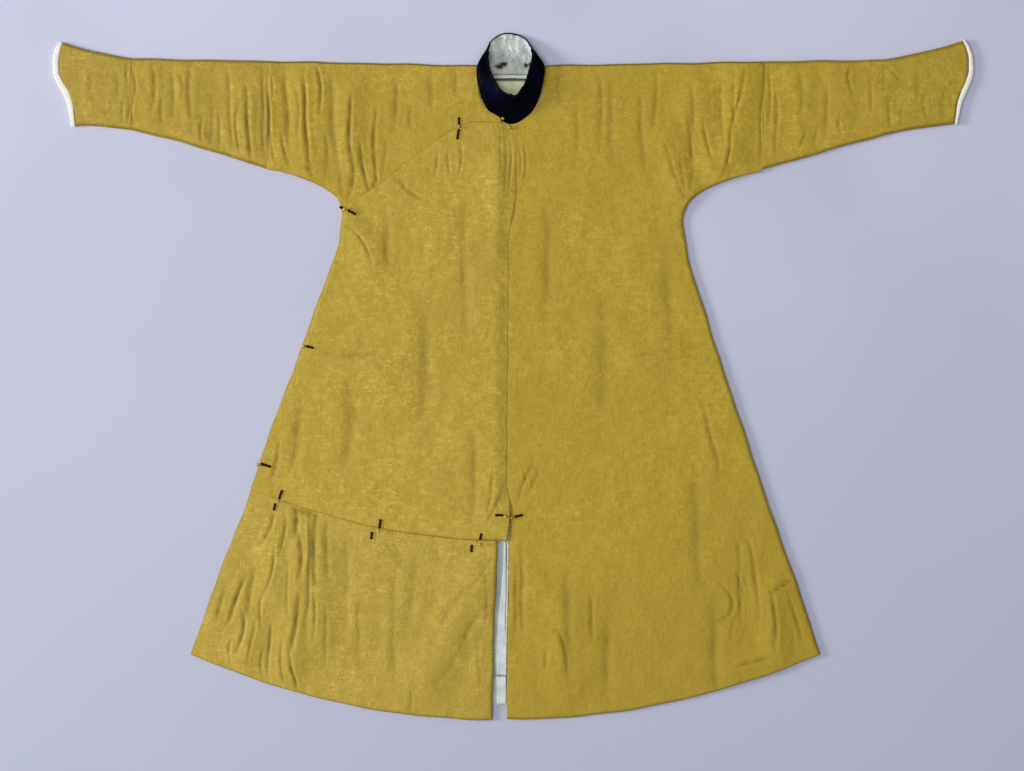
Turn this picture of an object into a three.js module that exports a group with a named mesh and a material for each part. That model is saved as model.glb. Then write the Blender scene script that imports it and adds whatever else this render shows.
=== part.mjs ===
// A fur-lined travelling robe, laid out flat and face up on a level surface.
// Right-closing court cut: two body lengths that pass over the shoulders, an overlap sewn on at the
// centre seam, a short skirt piece buttoned under it, joined sleeves with horse-hoof cuffs, a stand
// collar, and loop-and-ball fastenings.
// Millimetres. +X runs to the wearer's left, +Y towards the collar, +Z up; the surface is Z = 0.
import * as THREE from "three";

// ---- Driving dimensions -----------------------------------------------------------------------

const WALL = 5; // silk face, interlining and short-pile pelt together
const GAP = 0.3; // clear space at every seam and between layers
const LAYER = WALL + GAP; // height that one more layer adds
const TOP = LAYER + WALL; // upper face of the front where it lies straight on the back
const LINING = 1; // thin silk linings
const STEP = 62; // longest step between the sections of a front, a sleeve or a cuff
const BACK_STEP = 200; // the same for a back, which lies flat

const SEAM_LEFT = 568; // X where the cloth's width ends and the sleeve is joined on
const SEAM_RIGHT = -563;
const BACK_LEFT = -7.7; // X of the two backs' edges at the centre seam
const BACK_RIGHT = -8;
const UNDERLAP = -66; // X of the underlap's hidden edge
const CUFF_SEAM_LEFT = 843;
const CUFF_SEAM_RIGHT = -870;

const BAND = 3; // collar band, satin over a stiff core
const BAND_FOOT = 6.8; // height of the collar's lower edge
const COLLAR_COLUMNS = 30; // two for each of the collar's stretches
const CORD_WIDTH = 6; // fastening strips: two rolled cords side by side
const CORD_HEIGHT = 3;
const BALL = 7.6; // diameter of a fastening ball

const COLOURS = {
  silk: { color: 0xa8882b, roughness: 0.6, metalness: 0 },
  fur: { color: 0xeceadb, roughness: 0.95, metalness: 0 },
  satin: { color: 0x0b1026, roughness: 0.45, metalness: 0 },
  lining: { color: 0xc3cfd6, roughness: 0.7, metalness: 0 },
  cream: { color: 0xd2ceb2, roughness: 0.8, metalness: 0 },
  cord: { color: 0x1d1512, roughness: 0.7, metalness: 0 },
  gilt: { color: 0xb98f3d, roughness: 0.3, metalness: 1 },
};

// Every panel is a table of sections that run across it, from its first edge to its last.
// Columns: start x, start y, end x, end y, bow (how far the middle is pushed towards -Y).

const LEFT_FRONT = [
  [72, 710, SEAM_LEFT, 719, 0],
  [72, 680, SEAM_LEFT, 650, 0],
  [67, 642, SEAM_LEFT, 585, 0],
  [49, 605, SEAM_LEFT, 525, 0],
  [22, 582, SEAM_LEFT, 474, 0],
  [-6, 571, 515, 457, 0],
  [8, 520, 447, 432, 0],
  [8, 435, 400, 397, 0],
  [2, 392, 387, 360, 0],
  [-10, 305, 396, 285, 2],
  [-11, 160, 433, 160, 6],
  [-13, 20, 481, 8, 10],
  [-14.2, -150, 548, -190, 16],
  [-15, -243, 584, -300, 20],
  [-8, -280, 596, -333, 22],
  [-9, -394, 624, -411, 26],
  [-13, -598, 676, -562, 33],
  [-15, -780, 698, -632, 38],
];

const LEFT_BACK = [
  [72, 710, SEAM_LEFT, 719, 0],
  [32, 694, SEAM_LEFT, 640, 0],
  [BACK_LEFT, 694, SEAM_LEFT, 580, 0],
  [BACK_LEFT, 660, SEAM_LEFT, 530, 0],
  [BACK_LEFT, 600, SEAM_LEFT, 474, 0],
  [BACK_LEFT, 520, 447, 432, 0],
  [BACK_LEFT, 435, 400, 397, 0],
  [BACK_LEFT, 392, 387, 360, 0],
  [BACK_LEFT, 305, 396, 285, 2],
  [BACK_LEFT, 20, 481, 8, 10],
  [BACK_LEFT, -394, 624, -411, 26],
  [BACK_LEFT, -598, 676, -562, 33],
  [BACK_LEFT, -746, 698, -632, 37],
];

const RIGHT_FRONT = [
  [SEAM_RIGHT, 720, -81, 710, 0],
  [SEAM_RIGHT, 650, -83, 680, 0],
  [SEAM_RIGHT, 585, -81, 642, 0],
  [SEAM_RIGHT, 525, -64, 605, 0],
  [SEAM_RIGHT, 473, -50, 592, 0],
  [-531, 468, UNDERLAP, 560, 0],
  [-440, 435, UNDERLAP, 500, 0],
  [-396, 398, UNDERLAP, 435, 0],
  [-388, 353, UNDERLAP, 392, 0],
  [-413, 255, UNDERLAP, 300, 2],
  [-477, 79, UNDERLAP, 80, 6],
  [-560, -150, UNDERLAP, -200, 16],
  [-586, -224, UNDERLAP, -334, 24],
];

const RIGHT_BACK = [
  [SEAM_RIGHT, 720, -81, 710, 0],
  [SEAM_RIGHT, 640, -48, 694, 0],
  [SEAM_RIGHT, 580, BACK_RIGHT, 694, 0],
  [SEAM_RIGHT, 530, BACK_RIGHT, 660, 0],
  [SEAM_RIGHT, 473, BACK_RIGHT, 600, 0],
  [-440, 435, BACK_RIGHT, 520, 0],
  [-396, 398, BACK_RIGHT, 435, 0],
  [-388, 353, BACK_RIGHT, 392, 0],
  [-413, 255, BACK_RIGHT, 300, 2],
  [-477, 79, BACK_RIGHT, 20, 8],
  [-597, -260, BACK_RIGHT, -300, 24],
  [-685, -492, BACK_RIGHT, -560, 32],
  [-735, -632, BACK_RIGHT, -746, 37],
];

const OVERLAP = [
  [-99, 582, -24, 579, 0],
  [-124, 571, -6, 571, 0],
  [-231, 498, 8, 520, 0],
  [-329, 423, 8, 470, 0],
  [-384, 387, 8, 435, 0],
  [-392, 345, 2, 392, 0],
  [-397, 310, -10, 305, 2],
  [-440, 187, -11, 160, 6],
  [-477, 82, -13, 20, 8],
  [-565, -155, -14.2, -150, 18],
  [-584, -213, -15, -243, 22],
  [-590, -232, -8, -280, 25],
  [-594, -244, -9.5, -316, 28],
  [-597, -253, -15, -373, 31],
];

const SKIRT_PIECE = [
  [-590, -238, -35, -348, 27],
  [-603, -275, -36, -380, 28],
  [-650, -394, -38, -440, 30],
  [-688, -496, -42, -530, 33],
  [-735, -632, -48, -781, 37],
];

const SLEEVE_LEFT = [
  [SEAM_LEFT + GAP, 719, CUFF_SEAM_LEFT - GAP, 723, 0],
  [SEAM_LEFT + GAP, 473, CUFF_SEAM_LEFT - GAP, 551, 0],
];
const SLEEVE_RIGHT = [
  [CUFF_SEAM_RIGHT + GAP, 726, SEAM_RIGHT - GAP, 720, 0],
  [CUFF_SEAM_RIGHT + GAP, 562, SEAM_RIGHT - GAP, 473, -5],
];

// Horse-hoof cuffs: each section runs from the sleeve seam to the curved mouth.
const CUFF_LEFT = [
  [CUFF_SEAM_LEFT, 723, 1022, 765, 3],
  [CUFF_SEAM_LEFT, 704, 1031, 747, 2],
  [CUFF_SEAM_LEFT, 682, 1036, 722, 0],
  [CUFF_SEAM_LEFT, 661, 1036, 700, 0],
  [CUFF_SEAM_LEFT, 638, 1030, 676, 0],
  [CUFF_SEAM_LEFT, 615, 1020, 653, 0],
  [CUFF_SEAM_LEFT, 592, 1011, 626, 0],
  [CUFF_SEAM_LEFT, 551, 1004, 576, -2],
];
const CUFF_RIGHT = [
  [-1026, 761, CUFF_SEAM_RIGHT, 726, 3],
  [-1031.5, 741, CUFF_SEAM_RIGHT, 706, 2],
  [-1035, 718, CUFF_SEAM_RIGHT, 684, 0],
  [-1034.5, 696, CUFF_SEAM_RIGHT, 663, 0],
  [-1025, 673, CUFF_SEAM_RIGHT, 641, 0],
  [-1010, 647, CUFF_SEAM_RIGHT, 618, 0],
  [-1002, 619, CUFF_SEAM_RIGHT, 596, 0],
  [-997, 571, CUFF_SEAM_RIGHT, 562, -3],
];

// Fur that stands past the cuffs' mouths.
const FUR_LEFT = [
  [1022.4, 765, 1031, 768, 0],
  [1031.4, 747, 1042, 747, 0],
  [1036.4, 722, 1049, 721, 0],
  [1036.4, 700, 1050, 698, 0],
  [1030.4, 676, 1045, 673, 0],
  [1020.4, 653, 1035, 647, 0],
  [1011.4, 626, 1024, 622, 0],
  [1004.4, 576, 1013, 574, 0],
];
const FUR_RIGHT = [
  [-1036, 763, -1026.4, 761, 0],
  [-1047, 740, -1031.9, 741, 0],
  [-1051, 714, -1035.4, 718, 0],
  [-1049, 690, -1034.9, 696, 0],
  [-1040.5, 669, -1025.4, 673, 0],
  [-1026, 643, -1010.4, 647, 0],
  [-1016, 617, -1002.4, 619, 0],
  [-1009, 570, -997.4, 571, 0],
];

// Fur lining that peeps out along the slit's edge, and the linings that show in slit and neck.
const SLIT_FUR = [
  [-15, -376, -9.7, -376, 0],
  [-15, -394, -9.4, -394, 0],
  [-19, -598, -13.4, -598, 0],
  [-20.6, -680, -15, -680, 0],
];
const SLIT_LINING = [
  [-34, -376, -16, -376, 0],
  [-37, -440, -17, -440, 0],
  [-41, -530, -19, -530, 0],
  [-46.5, -744, -21.4, -744, 0],
];
const NECK_LINING = [
  [-56, 676, 44, 676, 0],
  [-64, 645, 50, 640, 0],
  [-50, 617, 34, 612, 0],
  [-24, 598, 14, 598, 0],
];
const NECK_TAPE = [
  [-52, 687, 36, 687, 0],
  [-52, 680, 36, 680, 0],
];

// The largest folds, as soft ridges. Columns: from x, y to x, y, width, height.
const LEFT_FOLDS = [
  [344, 541, 388, 412, 60, 5],
  [528, 703, 488, 494, 70, 6],
  [418, 640, 466, 470, 60, 4],
  [280, 46, 360, 60, 60, 4],
  [588, -491, 592, -621, 60, 5],
  [500, -664, 588, -637, 60, 4],
  [120, -530, 120, -700, 70, 4],
];
const RIGHT_FOLDS = [
  [-563, 712, -540, 500, 70, 6],
  [-474, 682, -474, 470, 80, 6],
  [-372, 651, -378, 500, 55, 5],
];
const OVERLAP_FOLDS = [
  [-372, 348, -316, 258, 60, 5],
  [-30, 470, -20, 380, 50, 4],
  [-450, 60, -300, 20, 90, 3],
];
const SKIRT_FOLDS = [
  [-540, -390, -548, -505, 60, 6],
  [-487, -400, -500, -640, 70, 7],
  [-452, -400, -454, -600, 60, 6],
  [-580, -575, -612, -640, 50, 5],
  [-90, -470, -199, -696, 75, 6],
];
const SLEEVE_LEFT_FOLDS = [
  [640, 700, 640, 505, 70, 4],
  [740, 705, 730, 535, 60, 3],
];
const SLEEVE_RIGHT_FOLDS = [
  [-607, 690, -610, 505, 70, 5],
  [-735, 700, -735, 540, 60, 4],
  [-822, 700, -822, 565, 50, 3],
];

// The collar band from its hidden end at the front, round the back, to the end that shows on top.
// Columns: foot x, foot y, top x, top y, top height, belly, how far it stands off as it overlaps.
const COLLAR = [
  [16, 590, 22, 655, 49, 0, 0],
  [-5, 578.5, 5, 635, 52, 0, 0],
  [-31, 586, -26, 645, 50, 2, 0],
  [-56, 606, -41, 667, 45, 7, 0],
  [-75, 641, -54, 694, 38, 15, 0],
  [-76, 672, -59, 725, 29, 16, 0],
  [-60, 690, -53, 758, 17, 5, 0],
  [-38, 692, -35, 777, 5, 0, 0],
  [-8, 692, -11, 783, 1, 0, 0],
  [24, 692, 19, 775, 5, 0, 0],
  [48, 690, 35, 757, 15, 5, 0],
  [65, 672, 42, 732, 27, 16, 0],
  [61, 641, 39, 704, 36, 16, 0],
  [44, 607, 29, 669, 45, 8, 0],
  [18, 587, 13, 645, 50, 1, 4.4],
  [-5, 578.5, 4, 635, 51, 0, 4.4],
  [-26, 586, -6, 641, 50, 0, 4.4],
];

// Fastening strips and balls. Columns: name, from x, y to x, y, the piece it lies on.
const STRIPS = [
  ["lapel_loop", -124, 573.5, -124, 590, "body_right"],
  ["lapel_knob", -124, 564, -128, 541, "overlap"],
  ["armpit_loop", -377, 379, -359, 370, "overlap"],
  ["armpit_knob", -396, 388, -389.5, 384, "body_right"],
  ["upper_side_loop", -471, 70, -455, 66, "overlap"],
  ["lower_side_loop", -575, -197, -552, -204, "overlap"],
  ["hem_left_loop", -526, -257, -533, -277, "overlap"],
  ["hem_left_knob", -542, -287, -545, -303, "skirt_piece"],
  ["hem_middle_loop", -302, -323, -305, -343, "overlap"],
  ["hem_middle_knob", -322, -352, -324, -368, "skirt_piece"],
  ["hem_right_loop", -73, -355, -76, -370, "overlap"],
  ["hem_right_knob", -95, -381, -96, -398, "skirt_piece"],
  ["slit_loop", -42, -314, -24, -314, "overlap"],
  ["slit_knob", 2, -318, 20, -314, "body_left"],
];
const BALLS = [
  ["lapel_ball", -124, 568.5, "overlap"],
  ["armpit_ball", -384, 381, "overlap"],
  ["upper_side_ball", -477, 70, "overlap"],
  ["lower_side_ball", -581, -199, "overlap"],
  ["hem_left_ball", -535, -282.5, "overlap"],
  ["hem_middle_ball", -307, -349, "overlap"],
  ["hem_right_ball", -76, -380, "overlap"],
  ["slit_loop_ball", -17.5, -317, "overlap"],
  ["slit_knob_ball", -4, -320, "body_left"],
  ["collar_ball", -24, 587.4, "collar_band"],
  ["neck_ball", -8, 567, "overlap"],
];

// ---- Shapes -----------------------------------------------------------------------------------

const mix = (a, b, t) => a + (b - a) * t;

/** 0 at `from`, 1 at `to`, with a soft start and end. */
function ease(value, from, to) {
  const t = THREE.MathUtils.clamp((value - from) / (to - from), 0, 1);
  return t * t * (3 - 2 * t);
}

/** Points of a panel, row by row: its sections, with more between them wherever they are far apart. */
function panel(sections, columns, step = STEP) {
  const rows = [];
  const row = ([x1, y1, x2, y2, bow]) =>
    Array.from({ length: columns + 1 }, (_, i) => {
      const u = i / columns;
      return [mix(x1, x2, u), mix(y1, y2, u) - bow * 4 * u * (1 - u)];
    });
  sections.forEach((section, index) => {
    if (index > 0) {
      const last = sections[index - 1];
      const reach = Math.max(
        Math.hypot(section[0] - last[0], section[1] - last[1]),
        Math.hypot(section[2] - last[2], section[3] - last[3]),
      );
      const steps = Math.ceil(reach / step);
      for (let k = 1; k < steps; k += 1) {
        rows.push(row(section.map((value, i) => mix(last[i], value, k / steps))));
      }
    }
    rows.push(row(section));
  });
  return rows;
}

/** Height that a table of folds adds at a point. */
function foldHeight(folds, x, y) {
  let height = 0;
  for (const [x1, y1, x2, y2, width, rise] of folds) {
    const length = Math.hypot(x2 - x1, y2 - y1);
    const along = ((x - x1) * (x2 - x1) + (y - y1) * (y2 - y1)) / length;
    const t = THREE.MathUtils.clamp(along / length, 0, 1);
    const across = Math.hypot(x - mix(x1, x2, t), y - mix(y1, y2, t));
    height = Math.max(height, rise * (1 - ease(across, 0, width)));
  }
  return height;
}

/** One closed body between an outer and an inner sheet of points that match row for row. */
function shell(outer, inner, closed = false) {
  const rows = outer.length;
  const columns = outer[0].length;
  const corners = [...outer.flat(), ...inner.flat()];
  const faces = [];
  const at = (side, r, c) => side * rows * columns + (r % rows) * columns + c;
  const quad = (a, b, c, d) => faces.push(a, b, c, a, c, d);
  const spans = closed ? rows : rows - 1;
  for (let r = 0; r < spans; r += 1) {
    for (let c = 0; c < columns - 1; c += 1) {
      quad(at(0, r, c), at(0, r + 1, c), at(0, r + 1, c + 1), at(0, r, c + 1));
      quad(at(1, r, c), at(1, r, c + 1), at(1, r + 1, c + 1), at(1, r + 1, c));
    }
    const end = columns - 1;
    quad(at(0, r, 0), at(1, r, 0), at(1, r + 1, 0), at(0, r + 1, 0));
    quad(at(0, r, end), at(0, r + 1, end), at(1, r + 1, end), at(1, r, end));
  }
  if (!closed) {
    for (let c = 0; c < columns - 1; c += 1) {
      quad(at(0, 0, c), at(0, 0, c + 1), at(1, 0, c + 1), at(1, 0, c));
      const end = rows - 1;
      quad(at(0, end, c), at(1, end, c), at(1, end, c + 1), at(0, end, c + 1));
    }
  }
  return facingOut(corners, faces);
}

/** Geometry of a closed body, turned inside out if its faces point in. */
function facingOut(corners, faces) {
  let volume = 0;
  const corner = (i) => new THREE.Vector3(...corners[i]);
  for (let i = 0; i < faces.length; i += 3) {
    const [a, b, c] = [corner(faces[i]), corner(faces[i + 1]), corner(faces[i + 2])];
    volume += a.dot(b.cross(c));
  }
  const geometry = new THREE.BufferGeometry();
  geometry.setAttribute("position", new THREE.Float32BufferAttribute(corners.flat(), 3));
  geometry.setIndex(volume > 0 ? faces : faces.toReversed());
  return geometry;
}

/** Rows of points at a height, given as a number or as a function of the place. */
function raised(rows, height) {
  const at = typeof height === "function" ? height : () => height;
  return rows.map((row) => row.map(([x, y]) => [x, y, at(x, y)]));
}

/** A single layer of cloth, its lower face at `base` plus `lift(x, y)`. */
function layer(rows, base, lift = () => 0, thickness = WALL) {
  const lower = (x, y) => base + lift(x, y);
  const upper = (x, y) => lower(x, y) + thickness;
  return shell(raised(rows, upper), raised(rows, lower));
}

/** Rows that turn a sheet from its lower layer up to its upper one, round the folded edge `row`. */
function turn(row, inwards, radius) {
  const middle = WALL + GAP / 2;
  return [-60, 0, 60].map((degrees) => {
    const angle = THREE.MathUtils.degToRad(degrees);
    const out = radius * Math.cos(angle);
    const height = middle + radius * Math.sin(angle);
    return row.map(([x, y], i) => [x - inwards[i][0] * out, y - inwards[i][1] * out, height]);
  });
}

/** The fold of a row: its points moved in from the edge, and the way in at each of them. */
function foldOf(edge, next) {
  const inwards = edge.map(([x, y], i) => {
    const [dx, dy] = [next[i][0] - x, next[i][1] - y];
    const length = Math.hypot(dx, dy);
    return [dx / length, dy / length];
  });
  const reach = WALL + GAP / 2;
  const row = edge.map(([x, y], i) => [x + inwards[i][0] * reach, y + inwards[i][1] * reach]);
  return { row, inwards };
}

/** A body length: the back, the fold over the shoulder and the front in one piece of cloth. */
function overShoulder(front, back, lift) {
  const fold = foldOf(front[0], front[1]);
  const frontRows = [fold.row, ...front.slice(1)];
  const backRows = [...back.slice(1).reverse(), fold.row];
  const lifted = (height) => (x, y) => height + lift(x, y);
  const sheet = (low, radius, high) => [
    ...raised(backRows, low),
    ...turn(fold.row, fold.inwards, radius),
    ...raised(frontRows, lifted(high)),
  ];
  return shell(sheet(0, WALL + GAP / 2, TOP), sheet(WALL, GAP / 2, LAYER));
}

/** A sleeve or cuff laid flat: one wall all round, folded along its first and its last row. */
function flatTube(rows, lift = () => 0) {
  const first = foldOf(rows[0], rows[1]);
  const last = foldOf(rows.at(-1), rows.at(-2));
  const middle = [first.row, ...rows.slice(1, -1), last.row];
  const lifted = (height) => (x, y) => height + lift(x, y);
  const sheet = (low, radius, high) => [
    ...raised(middle, lifted(high)),
    ...turn(last.row, last.inwards, radius).reverse(),
    ...raised(middle.toReversed(), low),
    ...turn(first.row, first.inwards, radius),
  ];
  return shell(sheet(0, WALL + GAP / 2, TOP), sheet(WALL, GAP / 2, LAYER), true);
}

/** A wall of the stand collar, `depth` inside the band's outer face, between two of its columns. */
function collarWall(depth, thickness, first = 0, last = COLLAR_COLUMNS) {
  const through = (pick) => new THREE.CatmullRomCurve3(COLLAR.map(pick));
  const foot = through(([x, y]) => new THREE.Vector3(x, y, BAND_FOOT));
  const top = through(([, , x, y, z]) => new THREE.Vector3(x, y, z));
  const shape = through(([, , , , , belly, stand]) => new THREE.Vector3(belly, stand, 0));
  const slope = 0.004;
  const point = (u, v) => foot.getPoint(u).lerp(top.getPoint(u), v);
  const grid = (across) =>
    [0, 0.25, 0.5, 0.75, 1].map((v) =>
      Array.from({ length: last - first + 1 }, (_, i) => {
        const u = (first + i) / COLLAR_COLUMNS;
        const along = point(Math.min(u + slope, 1), v).sub(point(Math.max(u - slope, 0), v));
        const rise = point(u, 1).sub(point(u, 0));
        const outwards = rise.cross(along).normalize();
        const { x: belly, y: stand } = shape.getPoint(u);
        const offset = belly * Math.sin(Math.PI * v) + stand - across;
        const moved = point(u, v).addScaledVector(outwards, offset);
        return [moved.x, moved.y, v === 0 ? Math.max(moved.z, BAND_FOOT) : moved.z];
      }),
    );
  return shell(grid(depth), grid(depth + thickness));
}

/** A fastening strip: a flat cord with round ends, on top of a piece of cloth. */
function strip(x1, y1, x2, y2, cloth) {
  const half = CORD_WIDTH / 2;
  const straight = Math.max(Math.hypot(x2 - x1, y2 - y1) - CORD_WIDTH, 1) / 2;
  const outline = new THREE.Shape();
  outline.absarc(straight, 0, half, -Math.PI / 2, Math.PI / 2);
  outline.absarc(-straight, 0, half, Math.PI / 2, (Math.PI * 3) / 2);
  const geometry = new THREE.ExtrudeGeometry(outline, {
    depth: CORD_HEIGHT,
    bevelEnabled: false,
    curveSegments: 3,
  });
  geometry.rotateZ(Math.atan2(y2 - y1, x2 - x1));
  const middle = [(x1 + x2) / 2, (y1 + y2) / 2];
  const below = Math.max(cloth(x1, y1), cloth(...middle), cloth(x2, y2));
  return geometry.translate(...middle, below + 3 * GAP);
}

/** A ball that rests on a piece of cloth. */
function ball(x, y, cloth) {
  const radius = BALL / 2;
  const below = Math.max(...[-1, 0, 1].map((side) => cloth(x + side * radius, y)));
  return new THREE.SphereGeometry(radius, 8, 6).translate(x, y, below + radius + 3 * GAP);
}

// ---- The robe ---------------------------------------------------------------------------------

const robe = new THREE.Group();

function add(name, geometry, colour) {
  const mesh = new THREE.Mesh(geometry, new THREE.MeshStandardMaterial(COLOURS[colour]));
  mesh.name = name;
  robe.add(mesh);
}

const foldsOf = (table) => (x, y) => foldHeight(table, x, y);

/** The overlap lies on the underlap, and comes down to the other front at the centre seam. */
function overlapLift(x, y) {
  const onUnderlap = ease(x, -8, -44);
  const onSkirtPiece = ease(y, -270, -312);
  return LAYER * Math.max(onUnderlap, onSkirtPiece) + foldHeight(OVERLAP_FOLDS, x, y);
}

/** Sections moved sideways at their end, to leave the seam's gap. */
const clearOfSeam = (sections) =>
  sections.map(([x1, y1, x2, y2, bow]) => [x1, y1, x2 - GAP, y2, bow]);

/** Both halves of a body length have as many columns, so that they meet at the shoulder. */
function bodyLength(front, back, folds) {
  const columns = 10;
  return overShoulder(panel(front, columns), panel(back, columns, BACK_STEP), foldsOf(folds));
}

add("body_left", bodyLength(LEFT_FRONT, LEFT_BACK, LEFT_FOLDS), "silk");
add("body_right", bodyLength(RIGHT_FRONT, RIGHT_BACK, RIGHT_FOLDS), "silk");
add("overlap", layer(panel(clearOfSeam(OVERLAP), 11), LAYER, overlapLift), "silk");
add("skirt_piece", layer(panel(SKIRT_PIECE, 12), LAYER, foldsOf(SKIRT_FOLDS)), "silk");

add("sleeve_left", flatTube(panel(SLEEVE_LEFT, 6), foldsOf(SLEEVE_LEFT_FOLDS)), "silk");
add("sleeve_right", flatTube(panel(SLEEVE_RIGHT, 7), foldsOf(SLEEVE_RIGHT_FOLDS)), "silk");
add("cuff_left", flatTube(panel(CUFF_LEFT, 4)), "silk");
add("cuff_right", flatTube(panel(CUFF_RIGHT, 4)), "silk");
add("cuff_fur_left", flatTube(panel(FUR_LEFT, 1)), "fur");
add("cuff_fur_right", flatTube(panel(FUR_RIGHT, 1)), "fur");

add("slit_fur", layer(panel(SLIT_FUR, 1), LAYER), "fur");
add("slit_lining", layer(panel(SLIT_LINING, 1), LAYER, undefined, LINING), "lining");
add("neck_lining", layer(panel(NECK_LINING, 4), LAYER, undefined, LINING), "cream");
add("neck_tape", layer(panel(NECK_TAPE, 2), LAYER, undefined, LINING), "lining");

add("collar_band", collarWall(0, BAND), "satin");
add("collar_lining", collarWall(BAND + GAP, LINING, 3, 24), "lining");

const clothTop = {
  body_left: (x, y) => TOP + foldHeight(LEFT_FOLDS, x, y),
  body_right: (x, y) => TOP + foldHeight(RIGHT_FOLDS, x, y),
  overlap: (x, y) => TOP + overlapLift(x, y),
  skirt_piece: (x, y) => TOP + foldHeight(SKIRT_FOLDS, x, y),
  collar_band: () => BAND_FOOT + 8,
};
for (const [name, x1, y1, x2, y2, piece] of STRIPS) {
  add(name, strip(x1, y1, x2, y2, clothTop[piece]), "cord");
}
for (const [name, x, y, piece] of BALLS) {
  add(name, ball(x, y, clothTop[piece]), "gilt");
}

export default robe;
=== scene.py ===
import math

import bpy
import numpy as np
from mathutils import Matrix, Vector


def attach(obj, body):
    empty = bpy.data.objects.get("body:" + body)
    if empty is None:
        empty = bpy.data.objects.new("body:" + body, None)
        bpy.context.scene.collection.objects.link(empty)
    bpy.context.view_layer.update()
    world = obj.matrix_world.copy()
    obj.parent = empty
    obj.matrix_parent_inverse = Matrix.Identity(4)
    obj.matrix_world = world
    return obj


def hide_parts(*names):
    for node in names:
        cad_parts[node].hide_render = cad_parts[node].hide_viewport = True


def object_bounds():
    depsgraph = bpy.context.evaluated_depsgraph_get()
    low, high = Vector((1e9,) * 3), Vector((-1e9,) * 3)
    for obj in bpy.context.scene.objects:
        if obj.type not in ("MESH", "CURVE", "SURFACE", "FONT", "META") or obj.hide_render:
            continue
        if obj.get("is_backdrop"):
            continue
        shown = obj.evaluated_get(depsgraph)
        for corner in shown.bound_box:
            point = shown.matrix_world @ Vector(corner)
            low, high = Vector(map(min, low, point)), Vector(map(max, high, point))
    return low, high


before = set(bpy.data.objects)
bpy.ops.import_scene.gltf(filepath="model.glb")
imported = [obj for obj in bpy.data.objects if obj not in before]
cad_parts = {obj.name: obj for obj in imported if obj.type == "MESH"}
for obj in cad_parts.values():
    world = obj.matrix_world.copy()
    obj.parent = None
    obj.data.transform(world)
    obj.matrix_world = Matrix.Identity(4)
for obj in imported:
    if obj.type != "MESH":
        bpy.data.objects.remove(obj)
cad_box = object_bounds()


# ---- Wearer's left body length ------------------------------------------------------------------
# One width of ochre silk damask, lined with short-pile fur, that runs from the front hem over the
# shoulder to the back hem. It is sewn to the overlap at the centre front and to the left sleeve.

WALL = 5.0
GAP = 0.3
LAYER = WALL + GAP
TOP = LAYER + WALL
# The hidden fur side keeps one column of points in four.
FUR_SIDE_EVERY = 4
# The pelt fills a fold up to this height before the fur side lifts as well.
FILLED_FOLD = 3.0


def ease(value, start, end):
    """0 at start and 1 at end, with a soft change between them."""
    t = np.clip((value - start) / (end - start), 0, 1)
    return t * t * (3 - 2 * t)


def smooth_rows(at, knots, rows):
    """Rows of a table at other places along it, joined smoothly and never past a row."""
    steps = np.diff(knots)[:, None]
    slopes = np.diff(rows, axis=0) / steps
    before, after = slopes[:-1], slopes[1:]
    both = before * after
    middle = np.where(both > 0, 2 * both / np.where(both > 0, before + after, 1), 0)
    tangents = np.vstack([slopes[:1], middle, slopes[-1:]])
    k = np.clip(np.searchsorted(knots, at, side="right") - 1, 0, len(knots) - 2)
    h = steps[k]
    t = (np.asarray(at)[:, None] - knots[k][:, None]) / h
    return (
        rows[k] * (1 + 2 * t) * (1 - t) ** 2
        + tangents[k] * h * t * (1 - t) ** 2
        + rows[k + 1] * t * t * (3 - 2 * t)
        - tangents[k + 1] * h * t * t * (1 - t)
    )


def places(length, step):
    """Places along a length, closer together beside both ends where the cloth rolls over."""
    size = min(1, length / 30)
    rim = np.array([0, 0.5, 1.4, 2.8, 4.8, 7.4]) * size
    count = 4 * max(1, round((length - 21 * size) / step / 4))
    middle = np.linspace(10.5 * size, length - 10.5 * size, count + 1)
    return np.concatenate([rim, middle, length - rim[::-1]])


def wander(x, y):
    """The small unevenness of hand-cut and hand-sewn edges."""
    side = np.sin(y / 19 + 1.3 * np.sin(x / 47)) * np.sin(x / 83 + y / 61 + 0.7)
    down = np.sin(x / 23 + 1.1 * np.sin(y / 59)) * np.sin(y / 71 - x / 97 + 2.1)
    return x + 1.1 * side, y + 1.1 * down


def panel(sections, across, along):
    """A panel's points, from a table of sections: start x, y, end x, y and how far the middle sags.
    Returns x, y and the distance from the four edges: start, end, first row and last row."""
    table = np.array(sections, float)
    reach = np.maximum(
        np.hypot(*np.diff(table[:, 0:2], axis=0).T), np.hypot(*np.diff(table[:, 2:4], axis=0).T)
    )
    knots = np.concatenate([[0], np.cumsum(reach)])
    rows = places(knots[-1], along)
    ends = smooth_rows(rows, knots, table)
    widest = np.hypot(ends[:, 2] - ends[:, 0], ends[:, 3] - ends[:, 1]).max()
    u = places(widest, across) / widest
    x = ends[:, 0:1] * (1 - u) + ends[:, 2:3] * u
    y = ends[:, 1:2] * (1 - u) + ends[:, 3:4] * u - ends[:, 4:5] * 4 * u * (1 - u)
    width = np.hypot(ends[:, 2] - ends[:, 0], ends[:, 3] - ends[:, 1])[:, None]
    down = np.repeat(rows[:, None], len(u), axis=1)
    x, y = wander(x, y)
    return x, y, (u * width, (1 - u) * width, down, knots[-1] - down)


def rolled(distance, reach, depth):
    """How far a face falls as it rolls over an edge."""
    t = np.clip(1 - distance / reach, 0, 1)
    if depth < 3:
        return depth * t * t
    return depth * (1 - np.sqrt(np.maximum(1 - t * t, 0)))


def rim_shade(distances, edges, shares=(1, 1, 1, 1)):
    """Painted shade along the cloth's edges, where it rolls over into shadow."""
    painted_shade = 0.0
    for distance, (reach, depth), share in zip(distances, edges, shares):
        painted_shade = np.maximum(painted_shade, 0.66 * share * min(depth / 4, 1) * np.exp(-((distance / 4.5) ** 2)))
    return painted_shade


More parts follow.
